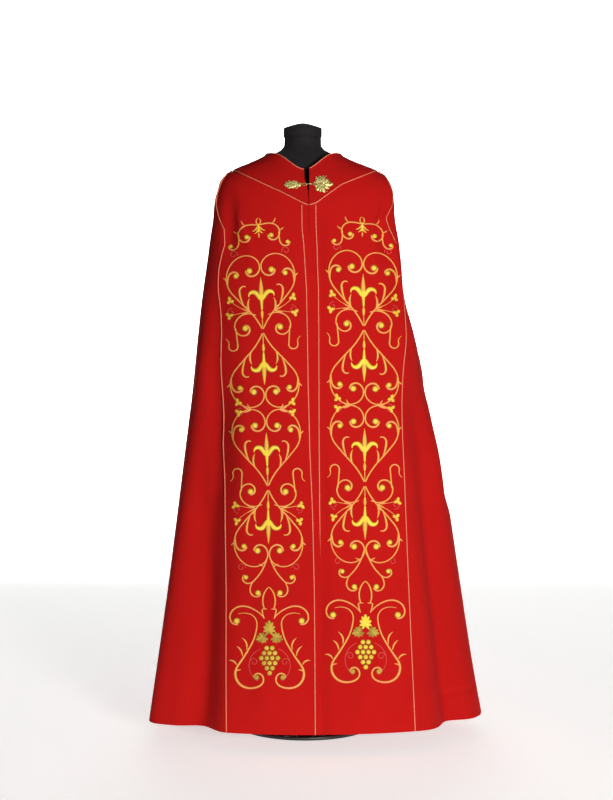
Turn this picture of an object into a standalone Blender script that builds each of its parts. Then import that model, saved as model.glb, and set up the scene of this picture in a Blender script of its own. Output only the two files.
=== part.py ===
# A cope (the long open cloak of church vestments) worn by a limbless dress form on a stand.
#
# The cloth is a set of cut panels, each a thin wall: two embroidered front bands, two side
# panels, two back panels that meet at the centre back, a wide pointed collar laid over the
# shoulders, and the piping cords on the seams.  A two-leaf metal clasp holds the neck closed.
#
# Metres, +Z up.  The garment faces -Y and +X is to the right of someone who looks at it.
# The origin is the centre of the stand's flat underside, on the axis of the pole.

import math
from collections import namedtuple

import bmesh
import bpy
from mathutils import Vector

# ---- driving sizes -------------------------------------------------------------------
GAP = 0.0003                 # air between pieces that touch
SEAM_HALF_GAP = 0.00015      # half of the gap between two panels at a seam
CLOTH = 0.0020               # wall of the lined front bands and body
COLLAR_CLOTH = 0.0022        # wall of the stiffened collar
CORD_WIDTH = 0.0028          # piping cord, laid flat
CORD_HEIGHT = 0.0016
CORD_LIFT = 0.0006           # over the cloth, so that its edges clear a hollow
CORD_START = 0.0048          # from the collar's edge to the end of an inner cord
SEAM_CORD_START = 0.0105     # and of a side seam's cord, which meets the edge at a slant
INNER_CORD_INSET = 0.0176    # from a front edge to the cord that runs beside it

LEFT, RIGHT = -1, 1          # the garment's two halves, by the sign of X
SIDE_NAME = {LEFT: "left", RIGHT: "right"}

# Horizontal sections of the worn cloak, from the neck edge down to the hem.  A section is
# tilted: its side, front and back have heights of their own.  square < 1 flattens the
# front and back; drop sets how late the section leaves the shoulder's height.
Section = namedtuple("Section", "side_z front_z back_z left_x right_x side_y front_y back_y square drop")
SECTIONS = [
    Section(1.5150, 1.472, 1.528, 0.100, 0.092, 0.000, -0.112, 0.085, 1.00, 8.0),   # neck edge
    Section(1.4985, 1.454, 1.513, 0.132, 0.124, 0.000, -0.122, 0.100, 0.95, 5.0),
    Section(1.4715, 1.412, 1.477, 0.196, 0.193, 0.002, -0.134, 0.125, 0.85, 3.0),
    Section(1.4510, 1.378, 1.445, 0.221, 0.219, 0.004, -0.143, 0.138, 0.80, 2.5),   # shoulder
    Section(1.4250, 1.340, 1.405, 0.230, 0.231, 0.005, -0.150, 0.150, 0.78, 2.2),
    Section(1.3950, 1.300, 1.355, 0.238, 0.2345, 0.005, -0.157, 0.160, 0.76, 2.0),
    Section(1.3500, 1.262, 1.305, 0.242, 0.238, 0.004, -0.163, 0.170, 0.74, 2.0),   # chest
    Section(1.3000, 1.228, 1.262, 0.250, 0.246, 0.003, -0.168, 0.178, 0.72, 2.0),
    Section(1.2400, 1.192, 1.215, 0.2575, 0.253, 0.002, -0.174, 0.187, 0.72, 2.0),
    Section(1.1360, 1.112, 1.125, 0.272, 0.263, 0.000, -0.184, 0.205, 0.72, 2.0),
    Section(1.0400, 1.030, 1.035, 0.2825, 0.2865, -0.004, -0.196, 0.225, 0.72, 2.0),  # waist
    Section(0.8950, 0.895, 0.895, 0.297, 0.3185, -0.010, -0.216, 0.256, 0.72, 2.0),
    Section(0.7350, 0.735, 0.735, 0.317, 0.3585, -0.018, -0.237, 0.290, 0.73, 2.0),
    Section(0.5600, 0.560, 0.560, 0.338, 0.3805, -0.028, -0.259, 0.322, 0.74, 2.0),
    Section(0.3750, 0.375, 0.375, 0.3605, 0.4065, -0.040, -0.281, 0.350, 0.76, 2.0),
    Section(0.1900, 0.190, 0.190, 0.3870, 0.4345, -0.050, -0.300, 0.375, 0.78, 2.0),
    Section(0.0450, 0.048, 0.045, 0.409, 0.4605, -0.058, -0.313, 0.392, 0.80, 2.0),   # hem
]

# Where the front panels end, seen from the front: the X of the opening edges and of the
# seams between band and body, at a height.  The edges part at the neck and lap below it.
Seam = namedtuple("Seam", "z left_seam left_edge right_edge right_seam")
SEAMS = [
    Seam(1.530, -0.150, -0.0035, 0.0110, 0.150),
    Seam(1.473, -0.190, -0.0030, 0.0110, 0.195),
    Seam(1.445, -0.205, -0.0010, 0.0112, 0.208),
    Seam(1.418, -0.214, 0.0050, 0.0105, 0.218),
    Seam(1.389, -0.221, 0.0090, 0.0100, 0.223),
    Seam(1.350, -0.217, 0.0096, 0.0103, 0.214),
    Seam(1.320, -0.211, 0.0101, 0.0110, 0.222),
    Seam(1.280, -0.208, 0.0142, 0.0131, 0.238),
    Seam(1.220, -0.221, 0.0180, 0.0150, 0.248),
    Seam(1.166, -0.2235, 0.0211, 0.0171, 0.254),
    Seam(1.050, -0.215, 0.0235, 0.0176, 0.258),
    Seam(0.930, -0.211, 0.0255, 0.0178, 0.254),
    Seam(0.770, -0.207, 0.0290, 0.0182, 0.252),
    Seam(0.600, -0.202, 0.0365, 0.0197, 0.256),
    Seam(0.400, -0.200, 0.0410, 0.0207, 0.2635),
    Seam(0.040, -0.200, 0.0436, 0.0225, 0.2795),
]

# The right front passes under the left one: how far its edge is let in, at a height.
Lap = namedtuple("Lap", "z depth")
LAPS = [Lap(1.385, 0.0), Lap(1.340, 0.0025), Lap(0.850, 0.0026), Lap(0.690, 0.0046), Lap(0.0, 0.0046)]
LAP_REACH = (0.022, 0.052)   # distance from the edge where the let-in starts to fade and ends

# Long folds.  place runs round a half: 0 front edge, 1 side seam, 2 centre back; reach is
# the half width in the same measure; depth is at the hem, + a ridge and - a trough.
Fold = namedtuple("Fold", "half place reach depth top_z full_z")
FOLDS = [
    Fold(LEFT, 1.065, 0.070, -0.024, 0.80, 0.10),
    Fold(LEFT, 1.185, 0.080, 0.010, 0.80, 0.10),
    Fold(LEFT, 1.500, 0.100, -0.034, 1.25, 0.05),
    Fold(LEFT, 1.625, 0.090, 0.022, 1.25, 0.05),
    Fold(LEFT, 1.760, 0.100, -0.040, 1.30, 0.05),
    Fold(LEFT, 2.000, 0.150, 0.020, 1.30, 0.05),
    Fold(RIGHT, 1.100, 0.085, -0.036, 1.00, 0.10),
    Fold(RIGHT, 1.230, 0.080, 0.010, 0.90, 0.10),
    Fold(RIGHT, 1.480, 0.095, -0.030, 1.20, 0.05),
    Fold(RIGHT, 1.600, 0.085, 0.020, 1.25, 0.05),
    Fold(RIGHT, 1.740, 0.110, -0.042, 1.30, 0.05),
    Fold(RIGHT, 2.000, 0.150, 0.020, 1.30, 0.05),
]

# Soft hollows in front of the arm, at a place seen from the front.
Hollow = namedtuple("Hollow", "half x z half_width half_height depth")
HOLLOWS = [
    Hollow(LEFT, 0.193, 1.330, 0.030, 0.115, -0.010),
    Hollow(RIGHT, 0.205, 1.320, 0.028, 0.120, -0.009),
]

# The collar's lower edge seen from the front, from its tip to the shoulder's crest.
CollarEdge = namedtuple("CollarEdge", "left_x right_x z")
COLLAR_EDGE = [
    CollarEdge(-0.009, 0.009, 1.3820),
    CollarEdge(0.0050, 0.0283, 1.3878),
    CollarEdge(0.0570, 0.0643, 1.4146),
    CollarEdge(0.1035, 0.0945, 1.4360),
    CollarEdge(0.1810, 0.1860, 1.4735),
    CollarEdge(0.2300, 0.2300, 1.4960),
]
COLLAR_BACK_RISE = 0.030     # the back point ends higher than the front tip

# ---- mesh density --------------------------------------------------------------------
COLLAR_ROWS = 5
BODY_ROWS = 23
BAND_PLACES = [0.22, 0.36, 0.50, 0.62, 0.73, 0.81, 0.87, 0.93]   # columns inside a band
BODY_COLUMNS = 27
SIDE_COLUMNS = 14            # of them on the side panel, the rest on the back panel
ARC_SAMPLES = 360            # points that measure a section's outline
STEP = 0.02                  # step that measures the slope of the surface

# ---- dress form and stand ------------------------------------------------------------
FORM_CLEARANCE = 0.00035     # from the shoulders to the cloth that they carry
FORM_EASE = 0.022            # how far the chest and back stay behind the cloth
SHOULDER_ROWS = (2, 4)       # the rows of the cloth that lie on the shoulders
ROW_EASE = 0.0016            # and how much further in each row beyond them is
FORM_COLUMN_STEP = 3         # every third column of the body is used
FormSection = namedtuple("FormSection", "z half_x front_y back_y")
FORM_SECTIONS = [
    FormSection(1.300, 0.197, -0.117, 0.112),
    FormSection(1.200, 0.188, -0.124, 0.115),
    FormSection(1.100, 0.171, -0.112, 0.105),
    FormSection(1.020, 0.160, -0.103, 0.100),
    FormSection(0.950, 0.168, -0.111, 0.108),
    FormSection(0.860, 0.182, -0.121, 0.122),
    FormSection(0.770, 0.187, -0.120, 0.128),
    FormSection(0.700, 0.184, -0.116, 0.124),
]
NECK_X, NECK_Y = -0.006, -0.008
NECK_RADIUS = 0.0485
NECK_BASE_Z, NECK_TOP_Z = 1.528, 1.560
CAP_RADIUS = 0.0505
CAP_EDGE_Z, CAP_PEAK_Z = 1.587, 1.600
POLE_RADIUS = 0.016
BASE_RADIUS = 0.180
BASE_THICKNESS = 0.009
BOSS_RADIUS, BOSS_TOP_Z = 0.032, 0.040

# ---- clasp ---------------------------------------------------------------------------
# Two cast leaves lie on the collar, one on each side of the opening, joined by two links.
Leaf = namedtuple("Leaf", "half stem_x centre_z length height lobes lobe_depth")
LEAVES = [
    Leaf(LEFT, -0.0085, 1.4370, 0.0455, 0.0240, 7, 0.08),
    Leaf(RIGHT, 0.0193, 1.4390, 0.0500, 0.0460, 5, 0.14),
]
LEAF_EDGE, LEAF_CROWN, LEAF_STEM = 0.0012, 0.0032, 0.0050   # heights over the collar
LEAF_POINTS = 40
LEAF_SEAT = 0.0006           # air under a leaf, which is flat and the collar is not
WIRE = 0.0006                # radius of the links' wire
EYE_RADII = (0.0065, 0.0032)
HOOK_HALF_DEPTH = 0.0029
LINK_HEIGHT = 0.0044         # of the links' middle over the collar


# ---- small helpers -------------------------------------------------------------------
def clear_scene():
    for thing in list(bpy.data.objects):
        bpy.data.objects.remove(thing, do_unlink=True)


def material(name, colour, roughness, metallic=0.0):
    made = bpy.data.materials.new(name)
    made.use_nodes = True
    shader = made.node_tree.nodes["Principled BSDF"]
    shader.inputs["Base Color"].default_value = (*colour, 1.0)
    shader.inputs["Roughness"].default_value = roughness
    shader.inputs["Metallic"].default_value = metallic
    return made


def add_object(name, shape, finish, smooth_angle=40.0):
    """Turn a bmesh into a named object with one material and outward faces."""
    bmesh.ops.recalc_face_normals(shape, faces=shape.faces)
    mesh = bpy.data.meshes.new(name)
    shape.to_mesh(mesh)
    shape.free()
    mesh.shade_smooth()
    mesh.set_sharp_from_angle(angle=math.radians(smooth_angle))
    mesh.materials.append(finish)
    made = bpy.data.objects.new(name, mesh)
    bpy.context.scene.collection.objects.link(made)
    return made


def ease(value):
    value = min(1.0, max(0.0, value))
    return value * value * (3.0 - 2.0 * value)


def along(rows, key, column, value):
    """Read a column of a table at a value of its key column, straight between the rows."""
    keys = [getattr(row, key) for row in rows]
    falling = keys[0] > keys[-1]
    for upper, lower in zip(rows, rows[1:]):
        start, end = getattr(upper, key), getattr(lower, key)
        inside = value >= end if falling else value <= end
        if inside or lower is rows[-1]:
            part = min(1.0, max(0.0, (value - start) / (end - start)))
            return getattr(upper, column) * (1 - part) + getattr(lower, column) * part
    return getattr(rows[-1], column)


def smooth_row(rows, level):
    """A row of a table at a fractional level, on a smooth curve through the rows."""
    first = min(len(rows) - 2, max(0, int(level)))
    part = level - first
    before, start = rows[max(0, first - 1)], rows[first]
    end, after = rows[first + 1], rows[min(len(rows) - 1, first + 2)]
    values = []
    for a, b, c, d in zip(before, start, end, after):
        slope_b, slope_c = (c - a) / 2, (d - b) / 2
        squared, cubed = part * part, part * part * part
        values.append((2 * cubed - 3 * squared + 1) * b + (cubed - 2 * squared + part) * slope_b
                      + (3 * squared - 2 * cubed) * c + (cubed - squared) * slope_c)
    return type(start)(*values)


# ---- the worn surface ----------------------------------------------------------------
class Ring:
    """One half of a section: its outline, and where its front edge and side seam lie."""

    def __init__(self, half, level):
        self.half = half
        self.row = smooth_row(SECTIONS, level)
        self.width = self.row.left_x if half == LEFT else self.row.right_x
        edge = self.angle_where("left_edge" if half == LEFT else "right_edge")
        seam = self.angle_where("left_seam" if half == LEFT else "right_seam")
        self.band, self.band_length = self.measure(edge, seam)
        self.body, self.body_length = self.measure(seam, math.pi)

    def at(self, angle):
        """The outline at an angle: 0 at the front, half a turn at the back."""
        row = self.row
        lean = abs(math.cos(angle))
        far_y, far_z = (row.front_y, row.front_z) if angle < math.pi / 2 else (row.back_y, row.back_z)
        return Vector((self.half * self.width * math.sin(angle),
                       row.side_y + (far_y - row.side_y) * lean ** row.square,
                       row.side_z + (far_z - row.side_z) * lean ** row.drop))

    def angle_where(self, column):
        """The angle at which the outline meets a line of the seam table."""
        low, high = -0.5, math.radians(86)
        for _ in range(30):
            middle = (low + high) / 2
            point = self.at(middle)
            if (point.x - along(SEAMS, "z", column, point.z)) * self.half > 0:
                high = middle
            else:
                low = middle
        return (low + high) / 2

    def measure(self, start, end):
        """Angles at equal parts of the outline's length between two angles."""
        angles = [start + (end - start) * step / ARC_SAMPLES for step in range(ARC_SAMPLES + 1)]
        lengths = [0.0]
        previous = self.at(angles[0])
        for angle in angles[1:]:
            point = self.at(angle)
            lengths.append(lengths[-1] + (point - previous).length)
            previous = point
        return list(zip(lengths, angles)), lengths[-1]

    def angle(self, place):
        table, part = (self.band, place) if place <= 1 else (self.body, place - 1)
        wanted = part * table[-1][0]
        low, high = 0, len(table) - 1
        while high - low > 1:
            middle = (low + high) // 2
            if table[middle][0] > wanted:
                high = middle
            else:
                low = middle
        span = table[high][0] - table[low][0]
        share = (wanted - table[low][0]) / span if span else 0.0
        return table[low][1] + (table[high][1] - table[low][1]) * share

    def outward(self, angle):
        """The level direction square to the outline."""
        step = 0.03
        run = self.at(min(math.pi, angle + step)) - self.at(angle - step)
        return Vector((run.y * self.half, -run.x * self.half, 0.0)).normalized()


RINGS = {}
POINTS = {}


def ring(half, level):
    key = (half, round(level, 5))
    if key not in RINGS:
        RINGS[key] = Ring(half, level)
    return RINGS[key]


def relief(half, place, point, distance):
    """How far the folds, hollows and the lap move the cloth out (+) or in (-)."""
    moved = 0.0
    for fold in FOLDS:
        away = abs(place - fold.place) / fold.reach
        if fold.half == half and away < 1:
            grown = ease((fold.top_z - point.z) / (fold.top_z - fold.full_z))
            moved += fold.depth * grown * (0.5 + 0.5 * math.cos(math.pi * away))
    for hollow in HOLLOWS:
        across = (abs(point.x) - hollow.x) / hollow.half_width
        up = (point.z - hollow.z) / hollow.half_height
        away = math.hypot(across, up)
        if hollow.half == half and away < 1 and point.y < 0:
            moved += hollow.depth * (0.5 + 0.5 * math.cos(math.pi * away))
    if half == RIGHT and place < 1:
        fade = 1.0 - ease((distance - LAP_REACH[0]) / (LAP_REACH[1] - LAP_REACH[0]))
        moved -= along(LAPS, "z", "depth", point.z) * fade
    return moved


def surface(half, level, place):
    """A point of the cloth's outer face."""
    if place > 2:
        half, place = -half, 4 - place
    level = min(len(SECTIONS) - 1, max(0.0, level))
    key = (half, round(level, 5), round(place, 6))
    if key not in POINTS:
        outline = ring(half, level)
        angle = outline.angle(max(0.0, place))
        point = outline.at(angle)
        distance = place * outline.band_length
        POINTS[key] = point + outline.outward(angle) * relief(half, place, point, distance)
    return POINTS[key]


def facing(half, level, place):
    """The outward direction of the cloth at a point."""
    low, high = max(0.0, level - STEP), min(len(SECTIONS) - 1, level + STEP)
    near, far = max(0.0, place - STEP), place + STEP
    down = surface(half, high, place) - surface(half, low, place)
    if far > 2:
        run = surface(-half, level, 4 - far) - surface(half, level, near)
    else:
        run = surface(half, level, far) - surface(half, level, near)
    return down.cross(run).normalized() * half


def collar_level(half, place):
    """The level at which a column of the cloth crosses the collar's lower edge."""
    low, high = 0.0, 7.0
    column = "left_x" if half == LEFT else "right_x"
    for _ in range(26):
        middle = (low + high) / 2
        outline = ring(half, middle)
        angle = outline.angle(place)
        point = outline.at(angle)
        edge_z = along(COLLAR_EDGE, column, "z", point.x * half)
        if angle > math.pi / 2:
            edge_z += COLLAR_BACK_RISE * abs(math.cos(angle))
        if point.z > edge_z:
            low = middle
        else:
            high = middle
    return (low + high) / 2


LEVELS = {}


def row_level(half, row, place):
    """Rows 0 to COLLAR_ROWS fill the collar's depth; the rest run on down to the hem."""
    key = (half, round(place, 6))
    if key not in LEVELS:
        LEVELS[key] = collar_level(half, place)
    edge = LEVELS[key]
    if row <= COLLAR_ROWS:
        return edge * row / COLLAR_ROWS
    part = (row - COLLAR_ROWS) / BODY_ROWS
    return edge + (len(SECTIONS) - 1 - edge) * part


LAST_ROW = COLLAR_ROWS + BODY_ROWS


def band_places(half, row):
    """Columns of a front band: its edge, the inner cord's line, and the rest."""
    outline = ring(half, row_level(half, row, 0.0))
    return [0.0, INNER_CORD_INSET / outline.band_length] + BAND_PLACES + [1.0]


def body_places(half, row):
    return [1.0 + column / BODY_COLUMNS for column in range(BODY_COLUMNS + 1)]


def side_places(half, row):
    return body_places(half, row)[:SIDE_COLUMNS + 1]


def back_places(half, row):
    return body_places(half, row)[SIDE_COLUMNS:]


def sheet_point(half, row, place, out):
    level = row_level(half, row, place)
    return surface(half, level, place) + facing(half, level, place) * out


# ---- builders ------------------------------------------------------------------------
def wall(name, outer, inner, finish, turn=None):
    """A closed thin wall between two grids of points.

    The diagonals run the same way in every layer and on both sides of a seam; from the
    column turn on they are mirrored.
    """
    shape = bmesh.new()
    rows, columns = len(outer), len(outer[0])
    top = [[shape.verts.new(point) for point in line] for line in outer]
    under = [[shape.verts.new(point) for point in line] for line in inner]
    for i in range(rows - 1):
        for j in range(columns - 1):
            for grid in (top, under):
                a, b, c, d = grid[i][j], grid[i + 1][j], grid[i + 1][j + 1], grid[i][j + 1]
                if turn is not None and j >= turn:
                    a, b, c, d = b, c, d, a
                shape.faces.new((a, b, c))
                shape.faces.new((a, c, d))
    rim = [(0, j) for j in range(columns)] + [(i, columns - 1) for i in range(1, rows)]
    rim += [(rows - 1, j) for j in range(columns - 2, -1, -1)] + [(i, 0) for i in range(rows - 2, 0, -1)]
    for pair in zip(rim, rim[1:] + rim[:1]):
        (i, j), (k, m) = sorted(pair)
        shape.faces.new((top[i][j], top[k][m], under[i][j]))
        shape.faces.new((top[k][m], under[k][m], under[i][j]))
    return add_object(name, shape, finish)


def panel(name, half, places_of, finish):
    """A cut panel of one half, trimmed by half a gap at its seams."""
    outer, inner = [], []
    for row in range(LAST_ROW + 1):
        level = row_level(half, row, 1.0)
        outline = ring(half, level)
        outer_line, inner_line = [], []
        places = places_of(half, row)
        if places[0] > 0.0:
            places[0] += SEAM_HALF_GAP / outline.body_length
        last_length = outline.body_length if places[-1] > 1.0 else outline.band_length
        places[-1] -= SEAM_HALF_GAP / last_length
        for place in places:
            outer_line.append(sheet_point(half, row, place, 0.0))
            inner_line.append(sheet_point(half, row, place, -CLOTH))
        outer.append(outer_line)
        inner.append(inner_line)
    return wall(name, outer, inner, finish)


def cord(name, path, finish, shift=0.0):
    """A flat-laid cord along a path of (point, outward direction), just above the cloth."""
    shape = bmesh.new()
    profile = [(-0.5, 0.0), (-0.3, 1.0), (0.3, 1.0), (0.5, 0.0)]
    loops = []
    for index, (point, out) in enumerate(path):
        ahead = path[min(index + 1, len(path) - 1)][0] - path[max(index - 1, 0)][0]
        across = out.cross(ahead).normalized()
        loops.append([shape.verts.new(point + across * (side * CORD_WIDTH + shift)
                                      + out * (CORD_LIFT + height * CORD_HEIGHT))
                      for side, height in profile])
    for first, second in zip(loops, loops[1:]):
        for a in range(len(profile)):
            b = (a + 1) % len(profile)
            shape.faces.new((first[a], first[b], second[b], second[a]))
    shape.faces.new(loops[0])
    shape.faces.new(loops[-1])
    bmesh.ops.triangulate(shape, faces=shape.faces)
    return add_object(name, shape, finish, smooth_angle=70.0)


def loft(name, rings, finish, smooth_angle=60.0):
    """A solid through closed rings of equal counts, capped at both ends."""
    shape = bmesh.new()
    loops = [[shape.verts.new(point) for point in line] for line in rings]
    count = len(loops[0])
    for first, second in zip(loops, loops[1:]):
        for a in range(count):
            b = (a + 1) % count
            shape.faces.new((first[a], first[b], second[b], second[a]))
    shape.faces.new(loops[0])
    shape.faces.new(loops[-1])
    bmesh.ops.triangulate(shape, faces=shape.faces)
    return add_object(name, shape, finish, smooth_angle)


def turned(name, profile, finish, centre=(0.0, 0.0), segments=32, smooth_angle=35.0):
    """A turned solid: the profile's (radius, height) points spun round an upright axis."""
    shape = bmesh.new()
    points = [shape.verts.new((radius, 0.0, height)) for radius, height in profile]
    edges = [shape.edges.new(pair) for pair in zip(points, points[1:])]
    bmesh.ops.spin(shape, geom=points + edges, cent=(0, 0, 0), axis=(0, 0, 1),
                   angle=2 * math.pi, steps=segments, use_merge=True)
    bmesh.ops.remove_doubles(shape, verts=shape.verts, dist=1e-6)
    bmesh.ops.translate(shape, vec=(centre[0], centre[1], 0.0), verts=shape.verts)
    return add_object(name, shape, finish, smooth_angle)


# ---- the cloth pieces ----------------------------------------------------------------
def make_panels(cloth):
    for half in (LEFT, RIGHT):
        side = SIDE_NAME[half]
        panel(f"front_band_{side}", half, band_places, cloth)
        panel(f"side_panel_{side}", half, side_places, cloth)
        panel(f"back_panel_{side}", half, back_places, cloth)


def round_places():
    """Columns right round the neck, from the left front edge to the right one."""
    left = [(LEFT, place) for place in band_places(LEFT, 0) + body_places(LEFT, 0)[1:]]
    right = [(RIGHT, place) for place in band_places(RIGHT, 0) + body_places(RIGHT, 0)[1:-1]]
    return left + right[::-1]


def make_collar(cloth):
    grids = []
    for out in (GAP + COLLAR_CLOTH, GAP):
        grids.append([[sheet_point(half, row, place, out) for half, place in round_places()]
                      for row in range(COLLAR_ROWS + 1)])
    back = len(band_places(LEFT, 0)) + BODY_COLUMNS - 1
    wall("collar", grids[0], grids[1], cloth, turn=back)


def seam_path(half, place_at, start):
    """The points and outward directions of a seam, from below the collar to the hem."""
    path = []
    for row in range(COLLAR_ROWS, LAST_ROW + 1):
        place = place_at(half, row)
        level = row_level(half, row, place)
        path.append((surface(half, level, place), facing(half, level, place)))
    (first, out), (second, _) = path[:2]
    path[0] = (first + (second - first).normalized() * start, out)
    return path


def collar_path(row, out):
    """An edge of the collar, from the left front round the neck to the right front."""
    path = []
    for half, place in round_places():
        facing_out = facing(half, row_level(half, row, place), place)
        path.append((sheet_point(half, row, place, out), facing_out))
    return path


def make_cords(gold):
    for half in (LEFT, RIGHT):
        side = SIDE_NAME[half]
        outer = seam_path(half, lambda h, r: 1.0, SEAM_CORD_START)
        inner = seam_path(half, lambda h, r: band_places(h, r)[1], CORD_START)
        cord(f"cord_outer_{side}", outer, gold)
        cord(f"cord_inner_{side}", inner, gold)
    beside = CORD_WIDTH / 2 + GAP
    cord("cord_collar", collar_path(COLLAR_ROWS, 0.0), gold, shift=beside)
    cord("cord_neck", collar_path(0, GAP + COLLAR_CLOTH), gold, shift=beside)


# ---- the dress form and its stand -----------------------------------------------------
def form_ring(row):
    """A ring of the form just under the cloth, touching it only on the shoulders."""
    points = []
    for half in (LEFT, RIGHT):
        line = []
        places = [0.0, 0.36, 0.73] + body_places(half, row)[::FORM_COLUMN_STEP]
        for place in places:
            level = row_level(half, row, place)
            angle = ring(half, level).angle(place)
            away = ease((abs(math.cos(angle)) - 0.25) / 0.6)
            beyond = max(SHOULDER_ROWS[0] - row, row - SHOULDER_ROWS[1], 0)
            out = -(CLOTH + FORM_CLEARANCE + FORM_EASE * away + ROW_EASE * beyond)
            line.append(surface(half, level, place) + facing(half, level, place) * out)
        points.append(line)
    left, right = points
    front = (left[0] + right[0]) / 2
    return [front] + left[1:-1] + [(left[-1] + right[-1]) / 2] + right[-2:0:-1]


def form_angles(row):
    angles = []
    for half in (LEFT, RIGHT):
        places = [0.0, 0.36, 0.73] + body_places(half, row)[::FORM_COLUMN_STEP]
        outlines = [ring(half, row_level(half, row, place)) for place in places]
        line = [half * outline.angle(place) for outline, place in zip(outlines, places)]
        angles.append(line)
    left, right = angles
    return [0.0] + left[1:-1] + [math.pi] + right[-2:0:-1]


def make_form(cover, plain):
    top_row, last_row = 1, COLLAR_ROWS + 2
    angles = form_angles(last_row)
    rings = []
    for height, radius in ((NECK_TOP_Z, NECK_RADIUS), (NECK_BASE_Z + 0.012, NECK_RADIUS),
                           (NECK_BASE_Z, NECK_RADIUS + 0.010)):
        rings.append([Vector((NECK_X + radius * math.sin(a), NECK_Y - radius * math.cos(a), height))
                      for a in angles])
    rings += [form_ring(row) for row in range(top_row, last_row + 1)]
    for section in FORM_SECTIONS:
        line = []
        for a in angles:
            depth = section.front_y if math.cos(a) > 0 else section.back_y
            line.append(Vector((section.half_x * math.sin(a), depth * abs(math.cos(a)), section.z)))
        rings.append(line)
    loft("form_torso", rings, cover)
    turned("form_neck_cap", [(0.0, NECK_TOP_Z + GAP), (CAP_RADIUS, NECK_TOP_Z + GAP),
                             (CAP_RADIUS, CAP_EDGE_Z - 0.003), (CAP_RADIUS - 0.003, CAP_EDGE_Z),
                             (0.022, CAP_EDGE_Z + 0.005), (0.0, CAP_PEAK_Z)], plain,
           centre=(NECK_X, NECK_Y))


def make_stand(metal):
    top = FORM_SECTIONS[-1].z - GAP
    turned("stand_pole", [(0.0, BOSS_TOP_Z + GAP), (POLE_RADIUS, BOSS_TOP_Z + GAP),
                          (POLE_RADIUS, top), (0.0, top)], metal, segments=24)
    turned("stand_base", [(0.0, 0.0), (BASE_RADIUS, 0.0), (BASE_RADIUS, BASE_THICKNESS - 0.002),
                          (BASE_RADIUS - 0.003, BASE_THICKNESS), (BOSS_RADIUS, BASE_THICKNESS + 0.004),
                          (BOSS_RADIUS - 0.008, BOSS_TOP_Z), (0.0, BOSS_TOP_Z)], metal, segments=48)


# ---- the clasp -------------------------------------------------------------------------
def spot_on_cloth(half, x, z):
    """The level and place of the cloth that has a given X and height."""
    low, high = 0.0, 1.0
    for _ in range(24):
        place = (low + high) / 2
        top, bottom = 0.0, 6.0
        for _ in range(24):
            level = (top + bottom) / 2
            if surface(half, level, place).z > z:
                top = level
            else:
                bottom = level
        if (surface(half, level, place).x - x) * half > 0:
            high = place
        else:
            low = place
    return level, place


def leaf_frame(leaf):
    """A leaf's flat seat: its centre on the collar, its long and short directions, and out."""
    level, place = spot_on_cloth(leaf.half, leaf.stem_x + leaf.half * leaf.length / 2, leaf.centre_z)
    out = facing(leaf.half, level, place)
    along_x = Vector((0.0, 0.0, 1.0)).cross(out).normalized() * -1
    if along_x.x < 0:
        along_x.negate()
    up = out.cross(along_x)
    if up.z < 0:
        up.negate()
    centre = surface(leaf.half, level, place) + out * (GAP + COLLAR_CLOTH + LEAF_SEAT)
    return centre, along_x, up, out


def make_leaf(name, leaf, finish):
    centre, along_x, up, out = leaf_frame(leaf)
    shape = bmesh.new()

    def ring_at(scale, height, stem_height):
        line = []
        for step in range(LEAF_POINTS):
            turn = 2 * math.pi * step / LEAF_POINTS
            reach = scale * (1 - leaf.lobe_depth + leaf.lobe_depth * math.cos(leaf.lobes * turn))
            near_stem = min(step, LEAF_POINTS - step) <= 1
            line.append(shape.verts.new(
                centre - along_x * (leaf.half * leaf.length / 2 * reach * math.cos(turn))
                + up * (leaf.height / 2 * reach * math.sin(turn))
                + out * (stem_height if near_stem else height)))
        return line

    rings = [ring_at(1.0, 0.0, 0.0), ring_at(1.0, LEAF_EDGE, LEAF_STEM),
             ring_at(0.62, LEAF_CROWN * 0.82, LEAF_CROWN)]
    for first, second in zip(rings, rings[1:]):
        for a in range(LEAF_POINTS):
            b = (a + 1) % LEAF_POINTS
            shape.faces.new((first[a], first[b], second[b], second[a]))
    shape.faces.new(rings[0])
    crown = shape.verts.new(centre + out * LEAF_CROWN)
    for a in range(LEAF_POINTS):
        shape.faces.new((rings[-1][a], rings[-1][(a + 1) % LEAF_POINTS], crown))
    bmesh.ops.triangulate(shape, faces=shape.faces)
    return add_object(name, shape, finish, smooth_angle=30.0)


def make_link(name, centre, along_x, across, radii, finish, turns=24, sides=8):
    """An oval ring of wire."""
    shape = bmesh.new()
    square = along_x.cross(across).normalized()
    loops = []
    for step in range(turns):
        turn = 2 * math.pi * step / turns
        middle = centre + along_x * (radii[0] * math.cos(turn)) + across * (radii[1] * math.sin(turn))
        run = (across * (radii[1] * math.cos(turn)) - along_x * (radii[0] * math.sin(turn))).normalized()
        side = run.cross(square)
        loops.append([shape.verts.new(middle + side * (WIRE * math.cos(2 * math.pi * k / sides))
                                      + square * (WIRE * math.sin(2 * math.pi * k / sides)))
                      for k in range(sides)])
    for step in range(turns):
        first, second = loops[step], loops[(step + 1) % turns]
        for a in range(sides):
            b = (a + 1) % sides
            shape.faces.new((first[a], first[b], second[b], second[a]))
    return add_object(name, shape, finish)


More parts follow.
